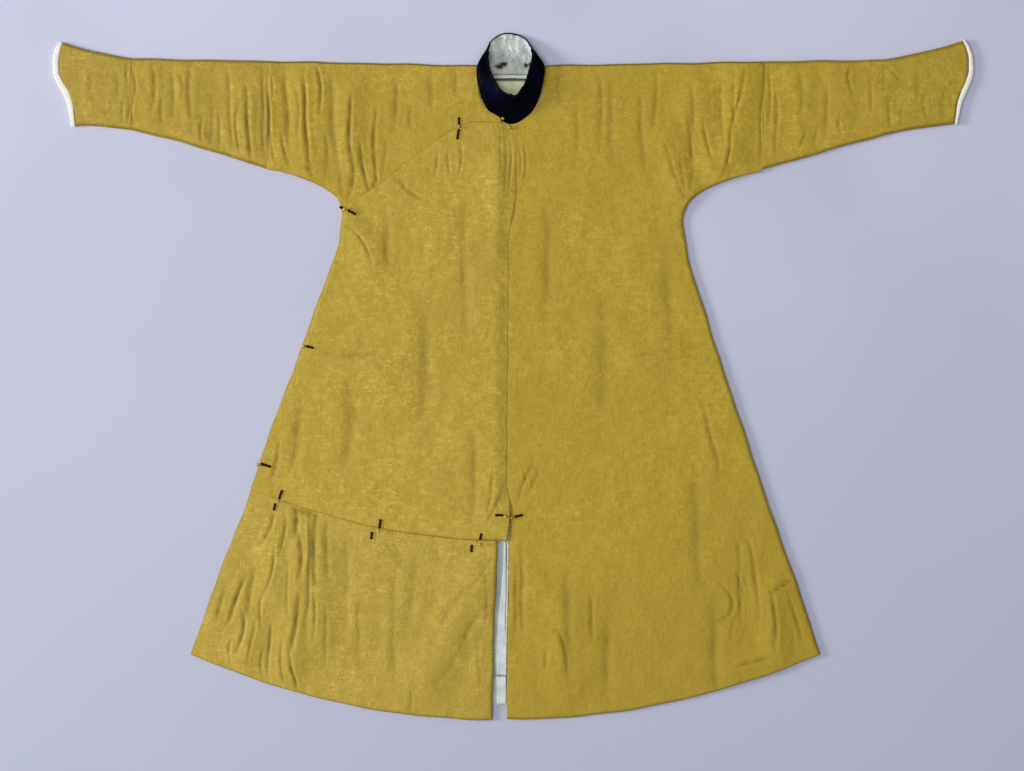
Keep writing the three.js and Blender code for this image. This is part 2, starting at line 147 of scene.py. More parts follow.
def ridges(x, y, table):
    """Height of broad folds. Columns: from x, y to x, y, width, height."""
    height = np.zeros_like(x)
    for x1, y1, x2, y2, width, rise in table:
        dx, dy = x2 - x1, y2 - y1
        t = np.clip(((x - x1) * dx + (y - y1) * dy) / (dx * dx + dy * dy), 0, 1)
        across = np.hypot(x - x1 - dx * t, y - y1 - dy * t)
        height = np.maximum(height, rise * (1 - ease(across, 0, width)))
    return height


def creases(x, y, table):
    """Height of the creases, and the painted shade in them. Columns: from x, y, through x, y, to x, y,
    width, height."""
    height, painted_shade = np.zeros_like(x), np.zeros_like(x)
    bend_x = 1.3 * np.sin(y / 21 + 1.7 * np.sin(x / 31))
    bend_y = 1.3 * np.sin(x / 17 + 1.3 * np.sin(y / 43))
    x, y = x + bend_x, y + bend_y
    for x1, y1, xm, ym, x2, y2, width, rise in table:
        s = np.linspace(0, 1, 9)
        px = x1 * (1 - s) * (1 - 2 * s) + xm * 4 * s * (1 - s) + x2 * s * (2 * s - 1)
        py = y1 * (1 - s) * (1 - 2 * s) + ym * 4 * s * (1 - s) + y2 * s * (2 * s - 1)
        near = np.full_like(x, 1e9)
        along = np.zeros_like(x)
        for k in range(8):
            dx, dy = px[k + 1] - px[k], py[k + 1] - py[k]
            t = np.clip(((x - px[k]) * dx + (y - py[k]) * dy) / (dx * dx + dy * dy + 1e-9), 0, 1)
            across = np.hypot(x - px[k] - dx * t, y - py[k] - dy * t)
            along = np.where(across < near, (k + t) / 8, along)
            near = np.minimum(across, near)
        fade = np.sin(np.pi * np.clip(along * 0.94 + 0.03, 0, 1)) ** 0.55
        fade = fade * (0.86 + 0.14 * np.sin(along * 17 + x1 + y1))
        trough = np.exp(-((near / width) ** 2))
        shoulder = np.exp(-(((near - 2.1 * width) / (1.2 * width)) ** 2))
        height += rise * fade * (trough - 0.3 * shoulder)
        # Painted shade in the crease's trough.
        painted_shade += max(-rise, 0) / 2.6 * fade * np.exp(-((near / (0.65 * width)) ** 2))
    return height, np.minimum(painted_shade, 1)


def swell(x, y, seed, size_x, size_y, height):
    """Low uneven swells in the padded cloth."""
    spread = np.random.default_rng(seed)
    total = np.zeros_like(x)
    for _ in range(14):
        turn, phase = spread.uniform(-0.5, 0.5), spread.uniform(0, 2 * np.pi)
        pitch = spread.uniform(0.7, 1.9)
        across = (x * np.cos(turn) + y * np.sin(turn)) / (size_x * pitch)
        down = (y * np.cos(turn) - x * np.sin(turn)) / (size_y * pitch)
        total += np.sin(2 * np.pi * across + phase) * np.sin(2 * np.pi * down + 2.3 * phase)
    return height * total / 3


def relief_and_shade(folds, lines, seed, size, calm=None):
    """How far a cloth rises above its flat shape and the painted shade in its creases, for any x and y.
    size is that of its low swells, which fade out from the second height of calm to the first."""

    def relief(x, y):
        height, painted_shade = creases(x, y, lines)
        swells = swell(x, y, seed, *size, 0.5)
        if calm is not None:
            swells = swells * ease(y, *calm)
        return ridges(x, y, folds) + height + swells, painted_shade

    return relief


def quads(grid):
    """The four-sided faces of a grid of point numbers."""
    return np.stack([grid[:-1, :-1], grid[1:, :-1], grid[1:, 1:], grid[:-1, 1:]], axis=-1).reshape(-1, 4)


def shell(name, outer, inner, ring=False, painted_shade=None, every=1):
    """A closed sheet between an outer and an inner grid of points, in millimetres. The painted shade
    given for the outer face darkens it in its creases and along its edges. The inner face takes the
    second material and keeps one column in every so many."""
    outer, inner = np.stack(outer, axis=-1), np.stack(inner, axis=-1)[:, ::every]
    rows, columns = outer.shape[:2]
    index = np.arange(rows * columns).reshape(rows, columns)
    under = rows * columns + np.arange(rows * inner.shape[1]).reshape(rows, -1)
    if ring:
        index, under = np.vstack([index, index[:1]]), np.vstack([under, under[:1]])

    def band(a, b):
        return np.stack([a[:-1], b[:-1], b[1:], a[1:]], axis=-1)

    faces, lining = [*quads(index)], [*quads(under)[:, ::-1]]
    first, last = len(faces), len(faces) + len(lining)
    faces += [*lining, *band(index[:, 0], under[:, 0]), *band(under[:, -1], index[:, -1])]
    if not ring:
        for k in range(inner.shape[1] - 1):
            span = slice(k * every, k * every + every + 1)
            faces.append((under[0, k], *index[0, span], under[0, k + 1]))
            faces.append((under[-1, k + 1], *index[-1, span][::-1], under[-1, k]))
    piece = solid(name, np.concatenate([outer.reshape(-1, 3), inner.reshape(-1, 3)]), faces)
    slots = np.zeros(len(faces), int)
    slots[first:last] = 1
    piece.data.polygons.foreach_set("material_index", slots)
    if painted_shade is not None:
        shade = piece.data.attributes.new("painted_shade", "FLOAT", "POINT")
        shade.data.foreach_set("value", np.append(painted_shade, painted_shade[:, ::every]).astype(np.float32))
    return piece


def solid(name, points, faces):
    """A smooth-shaded mesh object from points in millimetres, with its faces turned outwards."""
    points = np.asarray(points, float) / 1000
    faces = [tuple(int(i) for i in face) for face in faces]
    mesh = bpy.data.meshes.new(name)
    mesh.from_pydata(points.tolist(), [], faces)
    volume = 0.0
    a = points[[face[0] for face in faces]]
    for k in range(1, max(len(face) for face in faces) - 1):
        b = points[[face[min(k, len(face) - 2)] for face in faces]]
        c = points[[face[min(k + 1, len(face) - 1)] for face in faces]]
        volume += np.einsum("ij,ij->i", a, np.cross(b, c)).sum()
    if volume < 0:
        mesh.flip_normals()
    mesh.shade_smooth()
    piece = bpy.data.objects.new(name, mesh)
    bpy.context.collection.objects.link(piece)
    return piece


def as_grids(rows):
    """Rows of x, y and z as one grid of each."""
    return [np.array([row[axis] for row in rows]) for axis in range(3)]


TURN = (-78, -55, -28, 0, 28, 55, 78)


def turn_rows(x, y, inward_x, inward_y, radius):
    """Rows that take the cloth round a fold, from its lower layer to its upper one."""
    turned = []
    for degrees in TURN:
        out = radius * math.cos(math.radians(degrees))
        height = LAYER - GAP / 2 + radius * math.sin(math.radians(degrees))
        turned.append((x - inward_x * out, y - inward_y * out, np.full_like(x, height)))
    return turned


def fold_in(x, y):
    """A grid whose first row has moved in to the fold's centre, and the way in at each column."""
    inward_x, inward_y = x[1] - x[0], y[1] - y[0]
    size = np.hypot(inward_x, inward_y)
    inward_x, inward_y = inward_x / size, inward_y / size
    reach = WALL + GAP / 2
    move = np.clip(1 - np.hypot(x - x[0], y - y[0]) / 12, 0, 1) * reach
    return x + inward_x * move, y + inward_y * move, inward_x, inward_y


# Steps between points, across and along. The back is hidden, so its rows are far apart.
FRONT_STEPS = (3.1, 7.4)
BACK_STEPS = (3.1, 40.0)
# Heights between which the side edge turns into the sleeve seam.
ARMPIT = (448, 476)


def body_length(name, front, back, relief, edges, at_sleeve):
    """The front, the fold over the shoulder and the back as one sheet of cloth. at_sleeve is the
    share of the side edges' roll that is left along the sleeve seam."""
    fx, fy, front_edges = panel(front, *FRONT_STEPS)
    bx, by, back_edges = panel(back, *BACK_STEPS)
    columns = fx.shape[1]
    spots = np.linspace(0, 1, columns)
    source = np.linspace(0, 1, bx.shape[1])
    bx, by = [np.array([np.interp(spots, source, row) for row in grid]) for grid in (bx, by)]
    back_edges = [np.array([np.interp(spots, source, row) for row in grid]) for grid in back_edges]
    fx, fy, inward_x, inward_y = fold_in(fx, fy)
    bx[0], by[0] = fx[0], fy[0]
    raise_by, painted_shade = relief(fx, fy)
    fall = np.zeros_like(fx)
    seam = 1 - (1 - at_sleeve) * ease(fy, *ARMPIT)
    shares = (seam, seam, 1, 1)
    for distance, (reach, depth), share in zip(front_edges, edges, shares):
        fall = np.maximum(fall, share * rolled(distance, reach, depth))
    top, bottom = TOP + raise_by - fall, LAYER + np.maximum(raise_by - FILLED_FOLD, 0)
    lift = np.zeros_like(bx)
    for distance, (reach, depth) in zip(back_edges, edges):
        lift = np.maximum(lift, rolled(distance, reach, depth))
    outer = [(bx[k], by[k], lift[k]) for k in range(len(bx) - 1, -1, -1)]
    inner = [(bx[k], by[k], np.full(columns, WALL)) for k in range(len(bx) - 1, -1, -1)]
    outer += turn_rows(fx[0], fy[0], inward_x, inward_y, WALL + GAP / 2)
    inner += turn_rows(fx[0], fy[0], inward_x, inward_y, GAP / 2)
    outer += [(fx[k], fy[k], top[k]) for k in range(len(fx))]
    inner += [(fx[k], fy[k], bottom[k]) for k in range(len(fx))]
    painted_shade = np.maximum(painted_shade, rim_shade(front_edges, edges, shares))
    # The rows that turn over the shoulder fold get painted shade.
    painted_shade = np.vstack([np.zeros_like(bx), np.full((len(TURN), columns), 0.8), painted_shade])
    return shell(name, as_grids(outer), as_grids(inner), painted_shade=painted_shade, every=FUR_SIDE_EVERY)


def node(tree, kind, inputs, **settings):
    """A shader node with its inputs set to values or joined to other nodes."""
    made = tree.nodes.new("ShaderNode" + kind)
    for setting, value in settings.items():
        setattr(made, setting, value)
    for key, value in inputs.items():
        if isinstance(value, bpy.types.NodeSocket):
            tree.links.new(value, made.inputs[key])
        else:
            made.inputs[key].default_value = value
    return made


def sums(tree, operation, *values):
    """One step of arithmetic on single values."""
    return node(tree, "Math", dict(enumerate(values)), operation=operation).outputs[0]


def vectors(tree, operation, *values):
    """One step of arithmetic on places or directions."""
    made = node(tree, "VectorMath", dict(enumerate(values)), operation=operation)
    return made.outputs["Value" if operation in ("LENGTH", "DISTANCE") else "Vector"]


def between(tree, value, low, high, to_low, to_high):
    """A value mapped softly from one range to another."""
    inputs = {0: value, 1: low, 2: high, 3: to_low, 4: to_high}
    return node(tree, "MapRange", inputs, interpolation_type="SMOOTHSTEP").outputs[0]


def colours(tree, factor, a, b):
    """Colour a where the factor is 0, colour b where it is 1, and a mix in between."""
    return node(tree, "Mix", {0: factor, 6: a, 7: b}, data_type="RGBA").outputs[2]


def noise(tree, vector, scale, detail=2.0, roughness=0.5):
    """Soft noise around 0.5."""
    inputs = {"Vector": vector, "Scale": scale, "Detail": detail, "Roughness": roughness}
    return node(tree, "TexNoise", inputs).outputs["Fac"]


def stretched(tree, place, scales, detail, roughness=0.5):
    """Noise with its own scale along x, y and z."""
    return noise(tree, vectors(tree, "MULTIPLY", place, scales), 1.0, detail, roughness)


def bump(tree, height, distance, under=None):
    """A surface raised by a height, on top of what lies under it."""
    inputs = {"Strength": 1.0, "Distance": distance, "Height": height}
    if under is not None:
        inputs["Normal"] = under
    return node(tree, "Bump", inputs).outputs["Normal"]


def paint(colour):
    """A screen colour, 0 to 255, as a linear one."""
    return tuple(((c / 255 + 0.055) / 1.055) ** 2.4 for c in colour) + (1.0,)


def material(name, **settings):
    """A new material, its node tree, its shader with constants set, and the place on the piece."""
    made = bpy.data.materials.new(name)
    made.use_nodes = True
    shader = made.node_tree.nodes["Principled BSDF"]
    for key, value in settings.items():
        shader.inputs[key.replace("_", " ")].default_value = value
    place = node(made.node_tree, "TexCoord", {}).outputs["Object"]
    return made, made.node_tree, shader, place


def coat(tree, shader, colour, surface=None):
    """Joins a colour, and a surface where there is one, to a material's shader."""
    tree.links.new(colour, shader.inputs["Base Color"])
    if surface is not None:
        tree.links.new(surface, shader.inputs["Normal"])


# Charted in millimetres: one small cloud. Curls are x, y, radius; tails are x, y, half
# length, half height.
CLOUD_REPEAT = (56, 39)
CLOUD_CURLS = [(-8, 1.5, 5.2), (2.5, 6.5, 4.6), (11, 1, 4.4), (-20, 12.5, 3.4), (21, -12, 3.7)]
CLOUD_TAILS = [
    (-1.5, -6, 11, 2.2), (15, -6.5, 7, 1.9), (-18, -8, 7, 1.9), (20, 7, 7, 1.9), (-22, 2, 5, 1.7),
    (6, -14, 8, 1.9), (-7, 15, 7, 1.9), (14, 15, 6, 1.7), (-13, -16, 6, 1.9), (1.5, 1, 3, 2.2),
]


def silk(name, ground, figure, shift):
    """Ochre silk damask: curled clouds in staggered rows, a fine weave, a low uneven sheen."""
    made, tree, shader, place = material(
        name, Roughness=0.56, Sheen_Weight=0.1, Sheen_Roughness=0.45, Specular_IOR_Level=0.28
    )
    shader.inputs["Sheen Tint"].default_value = paint((236, 214, 150))
    # Places in millimetres, moved along for each piece and wavering a little as the cloth lies.
    mm = vectors(tree, "MULTIPLY_ADD", place, (1000, 1000, 1000), shift)
    wobble = node(tree, "TexNoise", {"Vector": place, "Scale": 26.0, "Detail": 2.0}).outputs["Color"]
    mm = vectors(tree, "MULTIPLY_ADD", wobble, (20, 15, 0), mm)
    # Staggered rows of repeats, with every other cloud facing the other way.
    wide, high = CLOUD_REPEAT
    tile = vectors(tree, "DIVIDE", mm, (wide, high, 1))
    part = node(tree, "SeparateXYZ", {0: tile})
    row = sums(tree, "FLOOR", part.outputs[1])
    across = sums(tree, "MULTIPLY_ADD", row, 0.5, part.outputs[0])
    odd = sums(tree, "PINGPONG", sums(tree, "ADD", sums(tree, "FLOOR", across), row), 1.0)
    side = sums(tree, "MULTIPLY_ADD", odd, -2.0, 1.0)
    u = sums(tree, "MULTIPLY", sums(tree, "SUBTRACT", sums(tree, "FRACT", across), 0.5), side)
    v = sums(tree, "SUBTRACT", sums(tree, "FRACT", part.outputs[1]), 0.5)
    share = node(tree, "CombineXYZ", {0: u, 1: v}).outputs[0]
    local = vectors(tree, "MULTIPLY", share, (wide, high, 0))
    # How near the closest drawn line of the cloud is.
    near = None
    for x, y, radius in CLOUD_CURLS:
        away = vectors(tree, "DISTANCE", local, (x, y, 0))
        ring = sums(tree, "ABSOLUTE", sums(tree, "SUBTRACT", away, radius))
        near = ring if near is None else sums(tree, "MINIMUM", near, ring)
    for x, y, length, height in CLOUD_TAILS:
        squeeze = height / length
        flat = vectors(tree, "MULTIPLY_ADD", local, (squeeze, 1, 0), (-x * squeeze, -y, 0))
        oval = sums(tree, "SUBTRACT", vectors(tree, "LENGTH", flat), height - 1)
        near = sums(tree, "MINIMUM", near, oval)
    # The clouds show where they aren't rubbed away, and short dark strokes run between them.
    cloud = between(tree, near, 0.2, 2.9, 1.0, 0.0)
    broken = between(tree, noise(tree, place, 85.0, 1.0), 0.42, 0.58, 0.0, 1.0)
    patch = between(tree, noise(tree, place, 9.0, 2.0), 0.36, 0.64, 0.3, 1.0)
    marked = sums(tree, "MULTIPLY", cloud, broken)
    shown = sums(tree, "MULTIPLY", marked, sums(tree, "MULTIPLY", patch, figure))
    drawn = vectors(tree, "MULTIPLY", place, (52, 150, 60))
    strokes = noise(tree, vectors(tree, "MULTIPLY_ADD", wobble, (1.2, 1.2, 0), drawn), 1.0, 1.0)
    dark = sums(tree, "MULTIPLY", between(tree, strokes, 0.58, 0.7, 0.0, 0.6 * figure), patch)
    thread = stretched(tree, place, (90, 420, 60), 2.0)
    blotch = noise(tree, place, 5.0, 3.0)
    painted_shade = node(tree, "Attribute", {}, attribute_name="painted_shade").outputs["Fac"]

    def tone(*share):
        return paint([min(c * f, 255) for c, f in zip(ground, share)])

    # Ground and clouds, then broad casts, grain, flecks, a darker left hem, threads and painted shade in
    # the creases.
    # The clouds are the damask's real figure; their lighter colour is painted sheen of the satin floats.
    base = colours(tree, shown, tone(1.02, 1.02, 1.04), tone(1.17, 1.18, 1.33))
    base = colours(tree, dark, base, tone(0.85, 0.83, 0.6))
    base = colours(tree, between(tree, blotch, 0.3, 0.7, 0.0, 0.5), base, tone(0.93, 0.94, 0.84))
    cast = stretched(tree, place, (17, 11, 17), 2.0)
    base = colours(tree, between(tree, cast, 0.4, 0.68, 0.0, 0.5), base, tone(0.93, 0.92, 0.78))
    grain = stretched(tree, place, (50, 75, 50), 3.0, 0.6)
    base = colours(tree, between(tree, grain, 0.4, 0.62, 0.0, 0.9), base, tone(0.945, 0.94, 0.86))
    fleck = stretched(tree, place, (120, 170, 120), 2.0, 0.6)
    base = colours(tree, between(tree, fleck, 0.3, 0.5, 0.24, 0.0), base, tone(0.88, 0.87, 0.7))
    base = colours(tree, between(tree, fleck, 0.52, 0.72, 0.0, 0.22), base, tone(1.13, 1.13, 1.25))
    part = node(tree, "SeparateXYZ", {0: place})
    hemward = sums(tree, "MULTIPLY", part.outputs[1], -1.0)
    corner = sums(tree, "MULTIPLY_ADD", part.outputs[0], 0.6, hemward)
    base = colours(tree, between(tree, corner, 0.35, 0.95, 0.0, 0.7), base, tone(0.92, 0.91, 0.8))
    base = colours(tree, between(tree, thread, 0.35, 0.65, 0.0, 0.12), base, tone(0.88, 0.88, 0.88))
    # Painted shade in the creases and along the rolled edges.
    base = colours(tree, sums(tree, "MULTIPLY", painted_shade, 0.76), base, tone(0.52, 0.45, 0.06))
    crinkle = stretched(tree, place, (60, 50, 50), 3.0, 0.55)
    twill = {"Vector": place, "Scale": 240.0, "Distortion": 0.6}
    weave = node(tree, "TexWave", twill, bands_direction="DIAGONAL")
    surface = bump(tree, crinkle, 0.002)
    surface = bump(tree, shown, 0.0004, surface)
    surface = bump(tree, fleck, 0.0001, surface)
    coat(tree, shader, base, bump(tree, weave.outputs["Fac"], 0.00004, surface))
    return made


def pelt(name):
    """The fur side of the cloth, which lies hidden inside."""
    made, tree, shader, place = material(name, Roughness=0.85, Sheen_Weight=0.3, Specular_IOR_Level=0.2)
    tuft = between(tree, noise(tree, place, 150.0, 3.0), 0.35, 0.65, 0.0, 1.0)
    base = colours(tree, tuft, paint((190, 182, 156)), paint((214, 208, 190)))
    coat(tree, shader, base, bump(tree, tuft, 0.001))
    return made


fur_side = pelt("fur_side")


def line_with_fur(piece, silk_face):
    """A piece's two materials: silk outside and the fur side inside."""
    piece.data.materials.append(silk_face)
    piece.data.materials.append(fur_side)


# Rows from the shoulder down to the hem: start x, y, end x, y and how far the middle sags.
LEFT_FRONT = [
    (72, 710, 568, 719, 0), (69.5, 680, 568, 650, 0), (62.5, 642, 568, 585, 0), (45, 606, 568, 525, 0),
    (19, 585, 568, 474, 0), (-6, 572, 515, 457, 0), (8, 520, 447, 432, 0), (8, 435, 400, 397, 0),
    (2, 392, 387, 360, 0), (-10, 305, 396, 285, 2), (-11, 160, 433, 160, 6), (-13, 20, 481, 8, 10),
    (-14.2, -150, 548, -190, 16), (-15, -243, 584, -300, 20), (-8, -280, 596, -333, 22),
    (-9, -394, 624, -411, 26), (-13, -598, 676, -562, 33), (-15, -780, 698, -632, 38),
]
LEFT_BACK = [
    (72, 710, 568, 719, 0), (32, 694, 568, 640, 0), (-7.7, 694, 568, 580, 0), (-7.7, 660, 568, 530, 0),
    (-7.7, 600, 568, 474, 0), (-7.7, 570, 515, 457, 0), (-7.7, 520, 447, 432, 0),
    (-7.7, 435, 400, 397, 0),
    (-7.7, 392, 387, 360, 0), (-7.7, 305, 396, 285, 2), (-7.7, 20, 481, 8, 10),
    (-7.7, -394, 624, -411, 26), (-7.7, -598, 676, -562, 33), (-7.7, -746, 698, -632, 37),
]
LEFT_FOLDS = [
    (344, 541, 388, 412, 60, 5), (528, 703, 488, 494, 70, 6), (418, 640, 466, 470, 60, 4),
    (280, 46, 360, 60, 60, 4), (588, -491, 592, -621, 60, 5), (500, -664, 588, -637, 60, 4),
    (120, -530, 120, -700, 70, 4),
]
LEFT_CREASES = [
    (342, 532, 368, 460, 390, 398, 3.7, -1.9), (366, 523, 384, 460, 391, 405, 3.3, -1.5),
    (397, 589, 406, 500, 402, 421, 3.7, -1.3), (429, 580, 442, 530, 457, 472, 3.7, -1.7),
    (527, 698, 512, 630, 495, 562, 3.7, -1.8), (495, 566, 489, 510, 472, 450, 3.7, -2.1),
    (483, 500, 489, 478, 493, 455, 3.3, -1.4), (565, 664, 563, 562, 561, 480, 3.3, -1.3),
    (404, 664, 406, 585, 402, 494, 8.2, -1.4), (140, 653, 144, 562, 138, 471, 7.4, -0.8),
    (224, 676, 220, 585, 226, 482, 8.2, -1), (288, 642, 290, 562, 299, 460, 6.6, -1.1),
    (274, 46, 320, 57, 361, 61, 3.3, -1.4), (588, -491, 611, -475, 631, -460, 4.1, -2.6),
    (588, -491, 595, -553, 593, -621, 4.9, -2.2), (497, -664, 543, -648, 588, -637, 4.1, -1.6),
    (506, -450, 522, -485, 511, -530, 3.3, -1.2), (511, -530, 499, -566, 495, -598, 3.3, -1.1),
    (19, -382, 17, -485, 19, -589, 7.4, -1.4), (74, -619, 74, -642, 74, -664, 4.1, -1.6),
    (119, -430, 121, -560, 124, -700, 13, -1.4), (210, -540, 210, -640, 210, -735, 12, -1.1),
    (44, -196, 26, -234, 10, -278, 3.3, -1.8), (22, -212, 28, -230, 33, -250, 2.5, -1.1),
    (-6.5, -288, -5.5, -330, -8.5, -376, 2.6, -2.6),
    (410, -230, 414, -350, 418, -470, 15, -1.3), (456, -500, 454, -620, 458, -712, 13, -1.4),
    (197, 175, 201, 39, 192, -121, 18, -0.8), (333, 334, 351, 175, 361, 39, 14.8, -0.9),
    (72, 403, 76, 266, 67, 107, 13.1, -1), (197, 687, 199, 607, 195, 516, 6.6, -1.2),
    (322, 694, 324, 630, 317, 557, 5.7, -1.1), (474, 687, 470, 607, 479, 539, 5.7, -1.4),
    (504, 698, 499, 630, 506, 562, 4.1, -1.2), (106, 694, 101, 657, 108, 621, 4.9, -0.8),
    (14, 528, 16, 490, 13, 455, 2.5, -1.1), (26, 530, 28, 495, 25, 450, 3.3, -1.1),
    (60, -212, 47, -239, 28, -271, 3.3, -1.5), (3, -416, 6, -507, 1, -598, 4.1, -1.4),
    (83, -580, 112, -600, 120, -680, 4.9, -1.8), (179, -495, 176, -550, 181, -595, 4.9, -1.4),
    (467, -471, 500, -520, 458, -560, 4.1, -2), (512, -380, 514, -470, 516, -560, 4.1, -1.6),
    (533, -371, 552, -462, 556, -557, 4.9, -1.5), (424, -52, 452, -143, 470, -234, 5.7, -1.3),
    (629, -503, 645, -553, 654, -603, 3.3, -1.6), (402, 369, 411, 323, 420, 262, 4.1, -1.4),
]
# How far an edge rolls over, as reach and depth. Each piece has its start, its end, its first row
# and its last.
NO_ROLL = (0.01, 0)
LEFT_EDGES = [(2.6, 0.6), (10, 4.4), NO_ROLL, (9, 4.4)]

left_relief = relief_and_shade(LEFT_FOLDS, LEFT_CREASES, 11, (90, 170))
body_left = body_length("robe_left_length", LEFT_FRONT, LEFT_BACK, left_relief, LEFT_EDGES, 0.15)
line_with_fur(body_left, silk("silk_left_length", (190, 162, 48), 0.62, (0, 0, 0)))
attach(body_left, "root")
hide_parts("body_left")


# ---- Wearer's right body length -----------------------------------------------------------------
# The matching width on the wearer's right: back, shoulder and the underlap that the overlap covers.
# It is sewn to the left length down the centre back and to the right sleeve.

RIGHT_FRONT = [
    (-563, 720, -81, 710, 0), (-563, 650, -80, 680, 0), (-563, 585, -76.5, 642, 0),
    (-563, 525, -58, 607, 0), (-563, 473, -29, 586, 0), (-531, 468, -30, 560, 0),
    (-440, 435, -60, 500, 0), (-396, 398, -66, 435, 0), (-388, 353, -66, 392, 0),
    (-413, 255, -66, 300, 2), (-477, 79, -66, 80, 6), (-560, -150, -66, -200, 16),
    (-586, -224, -66, -334, 24),
]
RIGHT_BACK = [
    (-563, 720, -81, 710, 0), (-563, 640, -48, 694, 0), (-563, 580, -8, 694, 0),
    (-563, 530, -8, 660, 0), (-563, 473, -8, 600, 0), (-531, 468, -8, 570, 0), (-440, 435, -8, 520, 0),
    (-396, 398, -8, 435, 0), (-388, 353, -8, 392, 0), (-413, 255, -8, 300, 2),
    (-477, 79, -8, 20, 8), (-597, -260, -8, -300, 24), (-685, -492, -8, -560, 32),
    (-735, -632, -8, -746, 37),
]
RIGHT_FOLDS = [
    (-563, 712, -540, 500, 70, 6), (-474, 682, -474, 470, 80, 6), (-372, 651, -378, 500, 55, 5),
]
RIGHT_CREASES = [
    (-556, 607, -552, 545, -543, 492, 3.3, -2.2), (-527, 556, -521, 520, -512, 484, 3.3, -1.9),
    (-477, 688, -473, 589, -466, 473, 4.5, -3.6), (-467, 480, -463, 468, -455, 457, 3.3, -2),
    (-449, 705, -440, 665, -440, 600, 3.7, -2.4), (-495, 653, -488, 600, -492, 540, 3.3, -1.6),
    (-370, 640, -373, 560, -368, 488, 4.1, -3.3), (-368, 498, -366, 450, -377, 406, 3.7, -3.4),
    (-347, 534, -343, 475, -328, 421, 3.3, -3.3), (-313, 610, -317, 523, -313, 446, 3.7, -2.9),
    (-313, 462, -317, 437, -335, 414, 3.3, -2.9), (-232, 612, -235, 590, -233, 568, 3.7, -1.7),
    (-417, 676, -411, 585, -404, 471, 8.2, -1.7), (-270, 676, -267, 619, -272, 562, 6.6, -1.6),
    (-190, 687, -188, 648, -190, 607, 7.4, -1.2), (-133, 694, -131, 664, -133, 635, 6.6, -1),
    (-520, 687, -515, 607, -511, 540, 6.6, -1.7), (-399, 494, -392, 444, -388, 407, 3.3, -1.9),
    (-290, 539, -295, 494, -304, 444, 3.3, -1.6), (-552, 687, -547, 653, -554, 617, 3.3, -1.6),
    (-430, 560, -424, 500, -428, 450, 4.1, -1.7), (-558, 704, -557, 600, -556, 486, 3.3, -3),
]
RIGHT_EDGES = [(10, 4.4), (3, 0.9), NO_ROLL, (9, 4.4)]

right_relief = relief_and_shade(RIGHT_FOLDS, RIGHT_CREASES, 12, (80, 150), calm=(380, 480))
body_right = body_length("robe_right_length", RIGHT_FRONT, RIGHT_BACK, right_relief, RIGHT_EDGES, 0.55)
line_with_fur(body_right, silk("silk_right_length", (191, 163, 53), 0.85, (21, 9, 0)))
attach(body_right, "root")
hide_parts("body_right")


# ---- Overlap ------------------------------------------------------------------------------------
# The front panel that closes to the wearer's right. It is sewn to the left length down the centre,
# curves from the neck to the armpit, and lies over the underlap.

OVERLAP = [
    (-99, 582, -24, 579, 0), (-124, 571, -6, 571, 0), (-231, 498, 8, 520, 0), (-329, 423, 8, 470, 0),
    (-384, 387, 8, 435, 0), (-392, 345, 2, 392, 0), (-397, 310, -10, 305, 2),
    (-440, 187, -11, 160, 6), (-477, 82, -13, 20, 8), (-565, -155, -14.2, -150, 18),
    (-584, -213, -15, -243, 22), (-590, -232, -8, -280, 25), (-594, -244, -9.5, -316, 28),
    (-597, -253, -15, -373, 31),
]
OVERLAP_FOLDS = [
    (-372, 348, -316, 258, 60, 5), (-30, 470, -20, 380, 50, 4), (-450, 60, -300, 20, 90, 3),
]
OVERLAP_CREASES = [
    (-363, 328, -340, 302, -320, 258, 3.3, -2.2), (-149, 516, -149, 489, -147, 460, 3.3, -1.6),
    (-19, 541, -17, 482, -19, 425, 2.5, -0.7), (-6, 535, -6, 482, -8, 430, 2.5, -1),
    (3, 516, 6, 471, 3, 412, 2.5, -0.7), (-19, -239, -38, -287, -63, -339, 3.3, -1.6),
    (-38, -291, -35, -298, -31, -307, 2.5, -1.4), (-383, -7, -372, -98, -390, -212, 16.4, -1.4),
    (-486, -52, -495, -143, -508, -212, 11.5, -1.4), (-213, 175, -204, 39, -213, -121, 19.7, -1.3),
    (-110, 403, -117, 266, -108, 107, 13.1, -1.1), (-440, 61, -372, 48, -304, 57, 8.2, -1.1),
    (-554, -234, -543, -212, -533, -177, 4.9, -1.6), (-292, 369, -288, 312, -295, 243, 9.8, -1.4),
    (-99, -121, -90, -212, -99, -325, 11.5, -1.4), (-384, 344, -374, 338, -362, 328, 3.3, -1.2),
    (-266, 452, -252, 437, -250, 425, 3.3, -2.4), (-250, 430, -232, 416, -208, 404, 3.3, -2.4),
    (-176, 512, -174, 489, -181, 457, 3.3, -1.5), (-122, 539, -119, 498, -126, 453, 3.3, -1.4),
    (-28, 555, -31, 516, -26, 475, 2.5, -0.7), (-44, -212, -51, -257, -58, -307, 3.3, -1.4),
    (-531, -143, -538, -180, -549, -212, 3.3, -1.6), (-417, 266, -424, 230, -436, 193, 4.1, -1.4),
    (-445, 175, -454, 139, -465, 107, 3.3, -1.1), (-167, -212, -144, -221, -117, -216, 4.1, -1),
]
OVERLAP_EDGES = [(10, 4.2), (2.6, 0.6), (8, 3.4), (8, 3.8)]


def overlap_lift(x, y):
    """The overlap rests on the underlap, and comes down to the left length at the centre seam."""
    return LAYER * np.maximum(ease(x, -8, -44), ease(y, -270, -312))


def on_underlap(x, y):
    """Height of the overlap's lower face."""
    return LAYER + overlap_lift(x, y)


